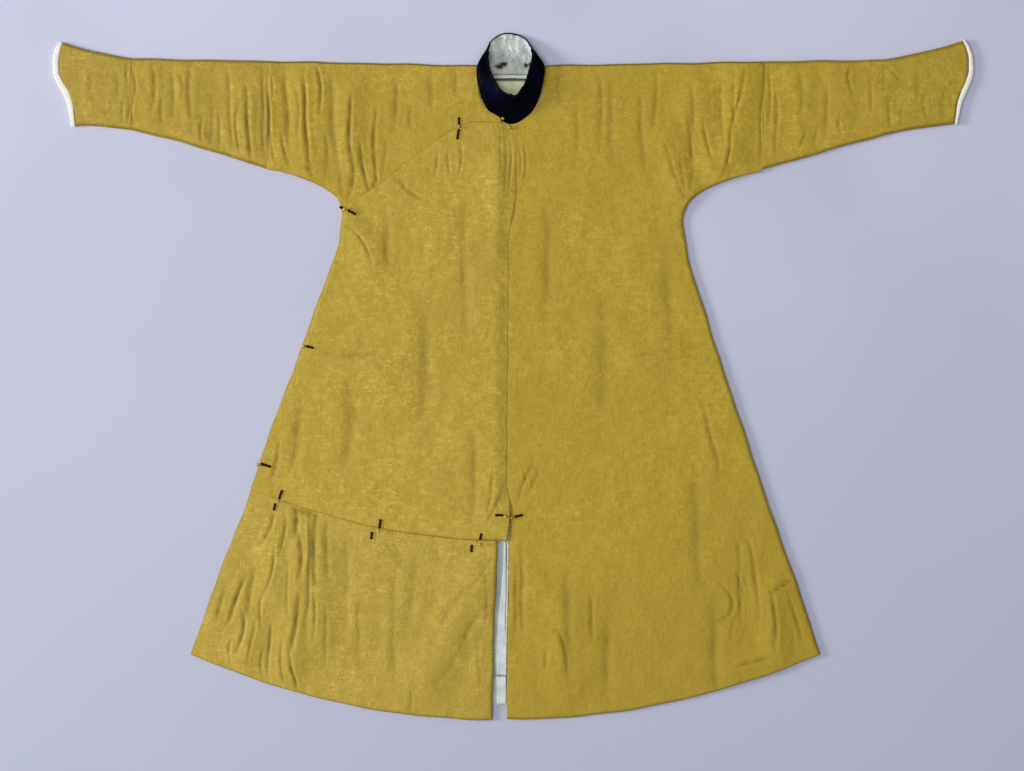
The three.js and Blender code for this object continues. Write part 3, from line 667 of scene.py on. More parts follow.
def layer(name, sections, base, relief, edges, across=2.9, along=6.0, thickness=WALL):
    """A single layer of cloth with its own relief, its lower face resting at base(x, y)."""
    x, y, distances = panel(sections, across, along)
    fall = np.zeros_like(x)
    for distance, (reach, depth) in zip(distances, edges):
        fall = np.maximum(fall, rolled(distance, reach, depth))
    (rise, painted_shade), below = relief(x, y), base(x, y)
    top = below + thickness + rise - fall
    painted_shade = np.maximum(painted_shade, rim_shade(distances, edges))
    under = below + np.maximum(rise - FILLED_FOLD, 0)
    return shell(name, (x, y, top), (x, y, under), painted_shade=painted_shade, every=FUR_SIDE_EVERY)


overlap_relief = relief_and_shade(OVERLAP_FOLDS, OVERLAP_CREASES, 13, (90, 130))
seam_clear = [(x1, y1, x2 - GAP, y2, sag) for x1, y1, x2, y2, sag in OVERLAP]
overlap = layer("robe_overlap", seam_clear, on_underlap, overlap_relief, OVERLAP_EDGES)
line_with_fur(overlap, silk("silk_overlap", (195, 167, 59), 1.1, (7, 31, 0)))
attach(overlap, "root")
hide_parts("overlap")


# ---- Short skirt piece --------------------------------------------------------------------------
# A separate lower front on the wearer's right, taken off for riding. Its top edge lies under the
# overlap, which is buttoned to it, and it hangs in several strong folds.

SKIRT_PIECE = [
    (-590, -238, -35, -348, 27), (-603, -275, -36, -380, 28), (-650, -394, -38, -440, 30),
    (-688, -496, -42, -530, 33), (-735, -632, -48, -781, 37),
]
SKIRT_FOLDS = [
    (-540, -390, -548, -505, 60, 6), (-487, -400, -500, -640, 70, 7), (-452, -400, -454, -600, 60, 6),
    (-580, -575, -612, -640, 50, 5), (-90, -470, -199, -696, 75, 6),
]
SKIRT_CREASES = [
    (-547, -312, -556, -350, -576, -382, 4.1, -2.1), (-543, -391, -549, -440, -570, -500, 3.3, -2.1),
    (-570, -494, -577, -530, -575, -568, 3.3, -1.9), (-505, -298, -478, -306, -446, -318, 8.2, -2.1),
    (-498, -300, -494, -330, -498, -360, 6.6, -3.3),
    (-489, -350, -483, -400, -489, -462, 4.9, -2.6), (-470, -312, -468, -387, -474, -460, 3.3, 2.3),
    (-446, -308, -456, -394, -449, -480, 7.4, -2.6), (-456, -489, -452, -541, -454, -598, 3.3, -1.7),
    (-486, -494, -496, -560, -508, -625, 5.7, -3.2), (-510, -620, -505, -650, -503, -668, 3.3, -2),
    (-508, -652, -500, -680, -494, -710, 3.7, -3.2), (-552, -560, -556, -620, -559, -682, 3.3, -2.1),
    (-608, -455, -630, -500, -648, -550, 4.9, -3.2), (-640, -540, -648, -556, -655, -566, 4.1, -1.9),
    (-618, -535, -614, -580, -634, -630, 4.1, -3.1), (-590, -430, -600, -500, -612, -545, 5.7, -1.7),
    (-655, -480, -668, -520, -678, -560, 4.1, -1.8), (-588, -553, -595, -598, -606, -648, 3.3, -1.9),
    (-527, -598, -529, -644, -522, -694, 3.3, -1.9), (-568, -621, -574, -653, -570, -676, 3.3, -1.8),
    (-640, -598, -647, -621, -645, -653, 2.8, -1.8), (-520, -314, -522, -360, -530, -400, 4.1, -1.9),
    (-512, -410, -516, -470, -512, -540, 3.3, -1.7), (-468, -416, -464, -485, -472, -548, 3.3, -1.7),
    (-424, -335, -426, -400, -418, -470, 5.7, -1.4), (-432, -507, -426, -576, -431, -662, 4.1, -1.1),
    (-40, -402, -66, -440, -90, -470, 6.6, -0.8), (-90, -466, -140, -520, -190, -610, 9, -1),
    (-62, -520, -96, -560, -130, -640, 8.2, -1), (-130, -636, -160, -680, -196, -706, 7.4, -0.8),
    (-64, -440, -60, -500, -66, -560, 4.1, -0.8), (-76, -580, -80, -640, -74, -712, 4.1, -0.6),
    (-349, -507, -354, -576, -347, -667, 6.6, -0.9), (-270, -440, -276, -560, -272, -680, 9, -1),
    (-224, -394, -231, -485, -247, -598, 9.8, -0.8), (-383, -371, -381, -480, -388, -600, 9.8, -0.9),
    (-235, -712, -231, -735, -238, -762, 3.3, -1.1),
]
SKIRT_EDGES = [(10, 4.4), (9, 4.0), (6, 3.0), (9, 4.4)]


def on_back(x, y):
    """Height of a front's lower face where it lies straight on the back."""
    return np.full_like(x, LAYER)


skirt_relief = relief_and_shade(SKIRT_FOLDS, SKIRT_CREASES, 14, (60, 150), calm=(-300, -400))
skirt_piece = layer("robe_skirt_piece", SKIRT_PIECE, on_back, skirt_relief, SKIRT_EDGES)
line_with_fur(skirt_piece, silk("silk_skirt_piece", (194, 167, 64), 1.0, (33, 17, 0)))
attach(skirt_piece, "root")
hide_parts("skirt_piece")


# ---- Sleeves ------------------------------------------------------------------------------------
# Straight lengths that carry the arms on from the loom width, folded along the top and seamed along
# the underarm, laid flat. Soft vertical folds run across them.

SLEEVE_LEFT = [(568.3, 719, 842.7, 723, 0), (568.3, 473, 842.7, 551, 0)]
SLEEVE_RIGHT = [(-869.7, 726, -563.3, 720, 0), (-869.7, 562, -563.3, 473, -5)]
SLEEVE_LEFT_FOLDS = [(640, 700, 640, 505, 70, 2), (740, 705, 730, 535, 60, 2)]
SLEEVE_RIGHT_FOLDS = [
    (-607, 690, -610, 505, 70, 4), (-735, 700, -735, 540, 60, 3), (-822, 700, -822, 565, 50, 2),
]
SLEEVE_LEFT_CREASES = [
    (582, 700, 584, 640, 580, 570, 3.3, -1.6), (597, 640, 599, 585, 595, 500, 4.1, -1.5),
    (652, 690, 656, 640, 651, 590, 6.6, -1.1), (711, 660, 713, 610, 709, 540, 5.7, -1.1),
    (770, 716, 762, 680, 772, 646, 4.1, -1.4), (811, 690, 815, 642, 809, 590, 4.1, -1),
    (668, 560, 660, 540, 650, 520, 3.3, -1.4), (700, 575, 690, 555, 684, 535, 3.3, -1.1),
    (745, 600, 741, 575, 748, 550, 3.3, -1),
]
SLEEVE_RIGHT_CREASES = [
    (-609, 660, -604, 573, -599, 490, 4.9, -2.9), (-736, 720, -739, 640, -733, 560, 6.6, -1.7),
    (-777, 700, -775, 640, -779, 585, 5.7, -1.7), (-822, 712, -818, 655, -824, 600, 5.7, -1.7),
    (-690, 640, -686, 580, -689, 530, 7.4, -1.4), (-650, 700, -646, 607, -640, 516, 4.9, -1.7),
    (-866, 700, -861, 660, -868, 632, 3.3, -1.5), (-863, 630, -870, 612, -863, 580, 3.3, -1.7),
    (-672, 600, -668, 560, -675, 505, 4.1, -1.7), (-627, 610, -631, 560, -622, 500, 3.3, -1.9),
    (-568, 700, -570, 600, -567, 490, 3.3, -1.6), (-708, 590, -712, 560, -706, 535, 3.3, -1.7),
    (-758, 690, -752, 660, -757, 630, 4.1, -1.1), (-800, 640, -802, 610, -797, 575, 4.1, -1.2),
]


SLEEVE_STEPS = (2.7, 5.0)


def flat_tube(name, sections, relief, ends):
    """A tube of cloth laid flat: one wall all round, folded along its first and last rows."""
    x, y, (from_start, from_end, down, up) = panel(sections, *SLEEVE_STEPS)
    x, y, in_x, in_y = fold_in(x, y)
    x, y, back_x, back_y = fold_in(x[::-1], y[::-1])
    x, y = x[::-1], y[::-1]
    rise, painted_shade = relief(x, y)
    rise = rise * ease(down, 0, 30) * ease(up, 0, 30)
    painted_shade = np.maximum(painted_shade, rim_shade((from_start, from_end, down, up), [*ends, (9, 3), (9, 3)]))
    fall = np.maximum(rolled(from_start, *ends[0]), rolled(from_end, *ends[1]))
    outer = [(x[k], y[k], TOP + rise[k] - fall[k]) for k in range(len(x))]
    inner = [(x[k], y[k], LAYER + np.maximum(rise[k] - FILLED_FOLD, 0)) for k in range(len(x))]
    outer += turn_rows(x[-1], y[-1], back_x, back_y, WALL + GAP / 2)[::-1]
    inner += turn_rows(x[-1], y[-1], back_x, back_y, GAP / 2)[::-1]
    # The hidden lower layer keeps its two folded rows and every fifth one between them.
    under = [len(x) - 1, *range(len(x) - 7, 6, -5), 0]
    outer += [(x[k], y[k], fall[k]) for k in under]
    inner += [(x[k], y[k], np.full_like(x[k], WALL)) for k in under]
    outer += turn_rows(x[0], y[0], in_x, in_y, WALL + GAP / 2)
    inner += turn_rows(x[0], y[0], in_x, in_y, GAP / 2)
    shaded = np.zeros((len(outer), x.shape[1]))
    shaded[: len(x)] = painted_shade
    # The rows that turn round the two folds get painted shade.
    shaded[len(x) : len(x) + len(TURN)] = shaded[-len(TURN) :] = 0.6
    return shell(name, as_grids(outer), as_grids(inner), ring=True, painted_shade=shaded, every=FUR_SIDE_EVERY)


SLEEVES = [
    (
        "sleeve_left", SLEEVE_LEFT, SLEEVE_LEFT_FOLDS, SLEEVE_LEFT_CREASES,
        (191, 163, 51), (0.49, 0.275), 0.113,
    ),
    (
        "sleeve_right", SLEEVE_RIGHT, SLEEVE_RIGHT_FOLDS, SLEEVE_RIGHT_CREASES,
        (187, 160, 56), (0.49, 0.306), 0.122,
    ),
]
SLEEVE_SWELLS = (60, 140)
for seed, (name, sections, folds, lines, ground, flat, area) in enumerate(SLEEVES, 21):
    relief = relief_and_shade(folds, lines, seed, SLEEVE_SWELLS)
    piece = flat_tube(name + "_length", sections, relief, [(3, 0.4), (3, 0.3)])
    line_with_fur(piece, silk("silk_" + name, ground, 0.85, (seed * 13 % 40, seed * 7 % 30, 0)))
    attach(piece, "root")
    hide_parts(name)


# ---- Horse-hoof cuffs ---------------------------------------------------------------------------
# Flaring cuffs of the same silk, seamed to the sleeves, whose upper edge runs out into a hoof
# shape. Each is folded along its top and seamed underneath, like the sleeve it carries on.

CUFF_LEFT = [
    (843, 723, 1022, 765, 3), (843, 704, 1031, 747, 2), (843, 682, 1036, 722, 0),
    (843, 661, 1036, 700, 0), (843, 638, 1030, 676, 0), (843, 615, 1020, 653, 0),
    (843, 592, 1011, 626, 0), (843, 551, 1004, 576, -2),
]
CUFF_RIGHT = [
    (-1026, 761, -870, 726, 3), (-1031.5, 741, -870, 706, 2), (-1035, 718, -870, 684, 0),
    (-1034.5, 696, -870, 663, 0), (-1025, 673, -870, 641, 0), (-1010, 647, -870, 618, 0),
    (-1002, 619, -870, 596, 0), (-997, 571, -870, 562, -3),
]
CUFF_LEFT_CREASES = [
    (846, 700, 866, 690, 884, 668, 3.3, -1.0), (857, 640, 853, 600, 859, 570, 4.1, -1.1),
    (913, 700, 918, 660, 914, 620, 6.6, -0.7), (930, 640, 936, 612, 944, 590, 4.1, -0.7),
    (884, 620, 882, 595, 886, 566, 4.1, -0.9), (985, 660, 975, 625, 978, 590, 5.7, -0.7),
]
CUFF_RIGHT_CREASES = [
    (-876, 712, -880, 690, -876, 668, 3.3, -1.8), (-878, 640, -874, 612, -880, 575, 4.1, -1.1),
    (-889, 630, -892, 605, -888, 572, 3.3, -1.1), (-905, 690, -899, 655, -912, 620, 5.7, -1.2),
    (-912, 620, -924, 604, -941, 597, 4.1, -0.9), (-968, 700, -962, 670, -970, 640, 6.6, -0.9),
    (-985, 600, -978, 590, -982, 576, 3.3, -1.2),
]
CUFF_SEAM, CUFF_MOUTH = (2.6, 0.25), (5, 2.6)
CUFFS = [
    (
        "cuff_left", CUFF_LEFT, CUFF_LEFT_CREASES,
        (187, 160, 52), [CUFF_SEAM, CUFF_MOUTH], (0.42, 0.193), 0.061,
    ),
    (
        "cuff_right", CUFF_RIGHT, CUFF_RIGHT_CREASES,
        (186, 159, 60), [CUFF_MOUTH, CUFF_SEAM], (0.394, 0.169), 0.051,
    ),
]
for seed, (name, sections, lines, ground, ends, flat, area) in enumerate(CUFFS, 31):
    piece = flat_tube(name + "_hoof", sections, relief_and_shade([], lines, seed, SLEEVE_SWELLS), ends)
    line_with_fur(piece, silk("silk_" + name, ground, 1.1, (seed * 11 % 40, seed * 5 % 30, 0)))
    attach(piece, "root")
    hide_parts(name)


# ---- Cuff fur -----------------------------------------------------------------------------------
# The white fur lining, turned just past the mouth of each cuff. A padded roll carries short hairs
# that lean outwards.

# Columns: x, y on the cloth's edge and how far the fur stands past it.
FUR_LEFT = [
    (1022, 765, 8), (1031, 747, 10), (1036, 722, 12.5), (1036, 700, 13.5), (1030, 676, 14.5),
    (1020, 653, 14.5), (1011, 626, 12.5), (1004, 576, 8),
]
FUR_RIGHT = [
    (-1026, 761, 9), (-1031.5, 741, 15), (-1035, 718, 16), (-1034.5, 696, 15), (-1025, 673, 16),
    (-1010, 647, 16.5), (-1002, 619, 14.5), (-997, 571, 11),
]


def edge_line(points, count):
    """Points spread along a smooth edge, and the way it runs at each of them."""
    table = np.array(points, float)
    knots = np.concatenate([[0], np.cumsum(np.hypot(*np.diff(table[:, :2], axis=0).T))])
    line = smooth_rows(np.linspace(0, knots[-1], count), knots, table)
    run = np.gradient(line[:, :2], axis=0)
    return line, run / np.hypot(*run.T)[:, None]


def along_edge(rows, spots):
    """Rows of an edge at places between them."""
    low = np.clip(spots.astype(int), 0, len(rows) - 2)
    t = (spots - low)[:, None]
    return rows[low] * (1 - t) + rows[low + 1] * t


def padded_roll(name, strands):
    """A soft closed roll from the strands that run along it, hollowed close to its middle."""
    outer = as_grids(strands)
    middle = [np.repeat(grid.mean(axis=0)[None], len(strands), axis=0) for grid in outer]
    centre = [near * 0.9 + grid * 0.1 for near, grid in zip(middle, outer)]
    return shell(name, outer, centre, ring=True)


def hairs(name, roots, leans, lengths, widths, sag):
    """Tapered hairs with three sides, each bending over as it leaves its root."""
    points, faces = [], []
    for root, lean, length, width, drop in zip(roots, leans, lengths, widths, sag):
        side = np.cross(lean, (0.0, 0.0, 1.0))
        side /= max(np.linalg.norm(side), 1e-6)
        up = np.cross(side, lean)
        first = len(points)
        for share, size in ((0.0, 1.0), (0.55, 0.75)):
            centre = root + lean * length * share + np.array((0, 0, -drop * share * share))
            for turn in (0.5, 2.6, 4.7):
                points.append(centre + (side * math.cos(turn) + up * math.sin(turn)) * width * size)
        points.append(root + lean * length + np.array((0, 0, -drop)))
        for k in range(3):
            j = (k + 1) % 3
            faces.append((first + k, first + j, first + 3 + j, first + 3 + k))
            faces.append((first + 3 + k, first + 3 + j, first + 6))
        faces.append((first + 2, first + 1, first))
    return solid(name, points, faces)


def fur(name, colour, shade):
    """Soft off-white fur, a little darker between the hairs."""
    made, tree, shader, place = material(
        name, Roughness=0.8, Sheen_Weight=0.5, Sheen_Roughness=0.6, Specular_IOR_Level=0.2
    )
    tuft = between(tree, noise(tree, place, 260.0, 3.0), 0.35, 0.68, 0.0, 1.0)
    base = colours(tree, tuft, paint(shade), paint(colour))
    coat(tree, shader, base, bump(tree, noise(tree, place, 700.0), 0.0006))
    return made


cuff_fur = fur("cuff_fur_hair", (255, 255, 250), (246, 242, 228))
MOUTH_HEIGHT = LAYER - GAP / 2
EDGE_POINTS = 70
CUFF_HAIRS = 3200
CUFF_FURS = [("cuff_fur_left", FUR_LEFT, 1, 41), ("cuff_fur_right", FUR_RIGHT, -1, 42)]
for name, edge, outward, seed in CUFF_FURS:
    line, run = edge_line(edge, EDGE_POINTS)
    away = np.stack([-run[:, 1], run[:, 0]], axis=1)
    away *= np.sign(away[:, :1]) * outward
    spread = np.random.default_rng(seed)
    strands = []
    for angle in np.linspace(0, 2 * np.pi, 25)[:-1]:
        out = np.sign(np.cos(angle)) * abs(np.cos(angle)) ** 0.8
        up = np.sign(np.sin(angle)) * abs(np.sin(angle)) ** 0.45
        reach = 0.6 + (line[:, 2] - 2.5) * 0.5 * (1 + out)
        uneven = 1 + 0.06 * np.sin(np.arange(EDGE_POINTS) * 1.7 + angle * 3)
        x, y = line[:, 0] + away[:, 0] * reach * uneven, line[:, 1] + away[:, 1] * reach
        strands.append((x, y, np.full(EDGE_POINTS, MOUTH_HEIGHT + 4.5 * up)))
    base = padded_roll(name + "_roll", strands)
    spot = spread.uniform(0, EDGE_POINTS - 1, CUFF_HAIRS)
    at, out = along_edge(line, spot), along_edge(away, spot)
    angle = spread.uniform(-1.3, 1.3, CUFF_HAIRS)
    reach = 0.6 + (at[:, 2] - 4) * 0.5 * (1 + np.cos(angle))
    roots = np.column_stack([at[:, :2] + out * reach[:, None], MOUTH_HEIGHT + 4.1 * np.sin(angle)])
    outwards = out + spread.normal(0, 0.35, (CUFF_HAIRS, 2))
    upwards = 0.55 * np.sin(angle) + spread.normal(0, 0.2, CUFF_HAIRS)
    leans = np.column_stack([outwards, upwards])
    leans /= np.linalg.norm(leans, axis=1)[:, None]
    lengths = spread.uniform(2.5, 5.5, CUFF_HAIRS)
    widths = spread.uniform(0.2, 0.34, CUFF_HAIRS)
    sag = spread.uniform(0.2, 1.4, CUFF_HAIRS)
    pile = hairs(name + "_hairs", roots, leans, lengths, widths, sag)
    for piece in (base, pile):
        piece.data.materials.append(cuff_fur)
        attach(piece, "root")
        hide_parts(name)


# ---- Slit fur -----------------------------------------------------------------------------------
# The edge of the fur lining, seen as a thin cream line along the left length's side of the slit:
# a narrow padded roll that carries very short hairs.

SLIT_EDGE = [(-12.2, -378), (-12.0, -394), (-16.2, -598), (-17.8, -679)]
SLIT_POINTS = 60
SLIT_HAIRS = 1500
FUR_HEIGHT = 7.6

line, _ = edge_line(SLIT_EDGE, SLIT_POINTS)
spread = np.random.default_rng(51)
uneven = 1 + 0.1 * np.sin(np.arange(SLIT_POINTS) * 2.1)
strands = []
for angle in np.linspace(0, 2 * np.pi, 11)[:-1]:
    height = np.full(SLIT_POINTS, FUR_HEIGHT + 2.1 * np.sin(angle))
    strands.append((line[:, 0] + 1.9 * np.cos(angle) * uneven, line[:, 1], height))
slit_roll = padded_roll("slit_fur_roll", strands)
at = along_edge(line, spread.uniform(0, SLIT_POINTS - 1, SLIT_HAIRS))
angle = spread.uniform(0.2, 3.0, SLIT_HAIRS)
roots = np.column_stack([at[:, 0] + 1.6 * np.cos(angle), at[:, 1], FUR_HEIGHT + 1.9 * np.sin(angle)])
leans = np.column_stack([np.cos(angle) * 0.8, spread.normal(-0.3, 0.4, SLIT_HAIRS), np.sin(angle)])
leans /= np.linalg.norm(leans, axis=1)[:, None]
lengths = spread.uniform(1.0, 2.2, SLIT_HAIRS)
widths = spread.uniform(0.14, 0.24, SLIT_HAIRS)
sag = spread.uniform(0, 0.6, SLIT_HAIRS)
slit_hairs = hairs("slit_fur_hairs", roots, leans, lengths, widths, sag)
slit_pile = fur("slit_fur_hair", (236, 229, 204), (200, 190, 158))
for piece in (slit_roll, slit_hairs):
    piece.data.materials.append(slit_pile)
    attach(piece, "root")
    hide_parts("slit_fur")


# ---- Slit lining --------------------------------------------------------------------------------
# Pale blue-grey silk facing on the back, seen between the two fronts, with a soft crease down it
# and a seam across near the hem.

SLIT_LINING = [
    (-34, -376, -16, -376, 0), (-37, -440, -17, -440, 0), (-41, -530, -19, -530, 0),
    (-46.5, -744, -16, -744, 0),
]


def thin_silk(name, colour, shade, streaks, bump_height, stain=40.0, lines=0.0):
    """Plain lining silk with a soft crinkle, painted shade along fine crumpled lines where it is quilted,
    and painted shade and shadow where the mesh marks them.
    """
    made, tree, shader, place = material(name, Roughness=0.6, Sheen_Weight=0.15, Specular_IOR_Level=0.3)
    stained = between(tree, noise(tree, place, stain, 3.0), 0.35, 0.7, 0.0, 1.0)
    painted_shade = node(tree, "Attribute", {}, attribute_name="painted_shade").outputs["Fac"]
    base = colours(tree, stained, paint(colour), paint(shade))
    crinkle = stretched(tree, place, streaks, 3.0)
    crease = sums(tree, "ABSOLUTE", sums(tree, "SUBTRACT", crinkle, 0.5))
    creased = between(tree, crease, 0.0, 0.03, lines, 0.0)
    # Painted shade along the fine crumpled lines, then painted shade and shadow where the mesh marks them.
    base = colours(tree, creased, base, paint([c * 0.6 for c in shade]))
    base = colours(tree, painted_shade, base, paint([c * 0.1 for c in shade]))
    coat(tree, shader, base, bump(tree, crinkle, bump_height))
    return made


def slit_relief(x, y):
    """The facing's fold down its length, its seam across, and painted shadow on the parts that lie in
    shadow.
    """
    crease_x = -38 + 16 * ease(y, -640, -382)
    fold = np.clip(1 - np.abs(x - crease_x) / 7, 0, 1)
    step = ease(x, crease_x - 1.5, crease_x + 1.5)
    seam = np.exp(-(((y + 680) / 2.2) ** 2))
    # Painted shadow: on the left part beside the skirt piece, in the gap by the fur and along the seam.
    hidden = np.maximum(ease(x, -18.6, -16.4) * ease(y, -660, -676), 0.8 * seam)
    shaded = np.maximum(hidden, 0.5 * (1 - step) + ease(x, -18.5, -16.6) * 0.9)
    return 0.9 * step + 0.5 * fold - 0.6 * seam, shaded


slit_lining = layer(
    "slit_facing", SLIT_LINING, on_back, slit_relief,
    [NO_ROLL, NO_ROLL, NO_ROLL, (3, 0.6)], across=1.6, along=3.0, thickness=1.0,
)
slit_lining.data.materials.append(
    thin_silk("slit_facing_silk", (216, 230, 228), (196, 210, 208), (260, 40, 90), 0.0008)
)
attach(slit_lining, "root")
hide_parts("slit_lining")


# ---- Neck lining and tape -----------------------------------------------------------------------
# Cream lining of the back seen down through the collar, with the white tape that covers the seam
# between the neck and the collar.

NECK_LINING = [
    (-66, 679.5, 54, 679.5, 0), (-66, 645, 54, 640, 0), (-52, 615, 38, 610, 0),
    (-24, 596, 14, 596, 0),
]
NECK_TAPE = [(-52, 687, 36, 687, 0), (-52, 680, 36, 680, 0)]


def neck_relief(x, y):
    """Crinkles in the neck lining, and a line of painted shadow just below the tape."""
    crinkle = 0.5 * np.sin(x / 5.1 + y / 17) + 0.5 * np.sin(x / 11 - y / 7.3)
    return crinkle + swell(x, y, 61, 16, 22, 0.3), 0.9 * ease(y, 671, 676)


neck_lining = layer(
    "neck_back_lining", NECK_LINING, on_back, neck_relief,
    [(3, 0.6)] * 4, across=2.0, along=2.5, thickness=1.6,
)
neck_lining.data.materials.append(
    thin_silk("neck_back_silk", (250, 250, 212), (224, 222, 182), (140, 110, 90), 0.0016)
)
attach(neck_lining, "root")
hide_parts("neck_lining")


def tape_relief(x, y):
    """The tape's small puckers."""
    return 0.9 + 0.35 * np.sin(x / 3.3), np.zeros_like(x)


neck_tape = layer(
    "neck_seam_tape", NECK_TAPE, on_back, tape_relief,
    [NO_ROLL, NO_ROLL, (2, 0.5), (2, 0.5)], across=1.5, along=1.0, thickness=1.0,
)
neck_tape.data.materials.append(
    thin_silk("neck_tape_cotton", (255, 255, 255), (246, 248, 246), (300, 300, 90), 0.0004)
)
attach(neck_tape, "root")
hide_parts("neck_tape")


# ---- Stand collar -------------------------------------------------------------------------------
# A band of near-black navy satin that stands round the neck, its ends crossing at the front, with a
# narrow binding along its top and a quilted pale lining inside.

# Columns, once round from the lower end to the upper: the foot's x, y, the top's x, y, z, how far
# the middle bulges and how far the whole stands outwards.
COLLAR = [
    (16, 590, 22, 655, 49, 0, 0), (-5, 578.5, 5, 635, 52, 0, 0), (-31, 586, -26, 645, 50, 2, 0),
    (-56, 606, -41, 667, 45, 7, 0), (-75, 641, -54, 694, 38, 15, 0), (-76, 672, -59, 725, 29, 17, 0),
    (-60, 690, -55, 758, 17, 12, 0), (-38, 692, -36, 777, 5, 2, 0), (-8, 692, -11, 783, 1, 0, 0),
    (24, 692, 20, 775, 5, 2, 0), (48, 690, 38, 757, 15, 10, 0), (65, 672, 44, 732, 27, 17, 0),
    (61, 641, 39, 704, 36, 16, 0), (44, 607, 29, 669, 45, 8, 0), (18, 587, 13, 645, 50, 1, 4.4),
    (-5, 578.5, 4, 635, 51, 0, 4.4), (-26, 586, -6, 641, 50, 0, 4.4),
]
COLLAR_WALL = 3.0
COLLAR_FOOT = 6.8


def through(table, at):
    """A smooth curve through the rows of a table, at places from 0 to 1."""
    rows = np.array(table, float)
    padded = np.vstack([2 * rows[0] - rows[1], rows, 2 * rows[-1] - rows[-2]])
    place = np.clip(at, 0, 1) * (len(rows) - 1)
    k = np.minimum(place.astype(int), len(rows) - 2)
    t = (place - k)[:, None]
    a, b, c, d = padded[k], padded[k + 1], padded[k + 2], padded[k + 3]
    square, cube = 2 * a - 5 * b + 4 * c - d, 3 * b - a - 3 * c + d
    return 0.5 * (2 * b + (c - a) * t + square * t**2 + cube * t**3)


def collar_grid(u, v, inward):
    """Points of the collar for columns u and heights v, set inward from its outer face."""
    row = through(COLLAR, u)
    foot = np.column_stack([row[:, :2], np.full(len(u), COLLAR_FOOT)])
    top = row[:, 2:5]
    rise = top - foot
    rippled = 1.1 * ease(u, 0.25, 0.4) * ease(u, 0.75, 0.6) * np.sin(131 * u + 2 * np.sin(37 * u))
    points = np.zeros((len(v), len(u), 3))
    for k, height in enumerate(v):
        middle = foot + rise * height
        run = np.gradient(middle, axis=0)
        outwards = np.cross(rise, run)
        outwards /= np.linalg.norm(outwards, axis=1)[:, None]
        offset = row[:, 5] * math.sin(math.pi * min(height, 1)) + row[:, 6] - inward[k]
        offset = offset + height**3 * rippled
        points[k] = middle + outwards * offset[:, None]
    points[..., 2] = np.maximum(points[..., 2], COLLAR_FOOT * (v[:, None] < 0.02))
    return points


def tube(name, rings):
    """A closed solid from rings of points in millimetres, with its two ends capped."""
    rings = np.asarray(rings, float)
    index = np.arange(rings.shape[0] * rings.shape[1]).reshape(rings.shape[:2])
    faces = [*quads(np.hstack([index, index[:, :1]])), index[0], index[-1][::-1]]
    return solid(name, rings.reshape(-1, 3), faces)


def collar_wall(name, u, heights, depths, crinkle):
    """A closed wall of the collar, from the heights and depths that go once round its section."""
    inward = np.array(depths, float)[:, None] + crinkle
    return tube(name, collar_grid(u, np.array(heights), inward).transpose(1, 0, 2))


COLLAR_COLUMNS = 150
u = np.linspace(0, 1, COLLAR_COLUMNS)
up = np.linspace(0, 1, 15)
heights = np.concatenate([up, up[::-1]])
depths = np.repeat([0.0, COLLAR_WALL], len(up))
puckers = 0.35 * np.sin(u * 170 + np.sin(u * 31) * 2)[None, :] * np.sin(np.pi * heights)[:, None]
band = collar_wall("collar_satin_band", u, heights, depths, puckers * (depths < 1)[:, None])
made, tree, shader, place = material("collar_satin", Roughness=0.42, Specular_IOR_Level=0.02)
# Lighter navy patches, partly rubbed wear and partly painted sheen.
patchy = between(tree, noise(tree, place, 24.0, 2.0), 0.4, 0.7, 0.0, 1.0)
base = colours(tree, patchy, paint((2, 2, 10)), paint((6, 7, 36)))
satin_lines = stretched(tree, place, (160, 160, 60), 3.0)
coat(tree, shader, base, bump(tree, satin_lines, 0.0005))
band.data.materials.append(made)

lip = collar_wall(
    "collar_top_binding", u, [0.95, 0.96, 0.985, 1.005, 1.015, 1.015, 1.005, 0.985, 0.96, 0.95],
    [0.2, -0.4, -0.7, -0.3, 0.7, 2.3, 3.2, 3.6, 3.4, 2.8], np.zeros(COLLAR_COLUMNS),
)
made, tree, shader, place = material("collar_binding", Roughness=0.6, Specular_IOR_Level=0.05)
coat(tree, shader, colours(tree, noise(tree, place, 120.0), paint((4, 4, 9)), paint((12, 12, 22))))
lip.data.materials.append(made)
for piece in (band, lip):
    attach(piece, "root")
    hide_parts("collar_band")

u = np.linspace(3 / 30, 24 / 30, COLLAR_COLUMNS)
up = np.linspace(-0.04, 0.975, 19)
heights = np.concatenate([up, up[::-1]])
depths = np.repeat([COLLAR_WALL + 0.4, COLLAR_WALL + 1.5], len(up))
rows_of_quilting = np.cos(heights[:, None] * 15 + 1.3 * np.sin(u * 61)[None, :])
waves = np.sin(u * 120 + 1.5 * np.sin(u * 37))[None, :] * rows_of_quilting
quilting = 0.9 * waves * (depths > 4)[:, None]
collar_lining = collar_wall("collar_quilted_lining", u, heights, depths, quilting)
spots = np.array([v.co for v in collar_lining.data.vertices]) * 1000
# Two dark crescents of painted shadow in folds above the neck seam: x, y, half width and half height.
crescents = 0.0
for x, y, half, thick in ((-28, 708.5, 14, 5.5), (31, 710, 8, 3.8)):
    bow = y + 0.2 * (spots[:, 0] - x) + 1.5 * ((spots[:, 0] - x) / half) ** 2
    oval = ((spots[:, 0] - x) / half) ** 2 + ((spots[:, 1] - bow) / thick) ** 2
    crescents = np.maximum(crescents, np.minimum(2 * np.exp(-(oval**2)), 1))
# Painted shade, a little darker over the lower part of the lining.
painted_shade = np.maximum(crescents, 0.15 * ease(spots[:, 1], 752, 738))
marked = collar_lining.data.attributes.new("painted_shade", "FLOAT", "POINT")
marked.data.foreach_set("value", painted_shade.astype(np.float32))
collar_lining.data.materials.append(
    thin_silk(
        "collar_lining_silk", (230, 235, 229), (190, 197, 197), (130, 130, 130), 0.004,
        stain=34.0, lines=0.55,
    )
)
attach(collar_lining, "root")
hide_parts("collar_lining")


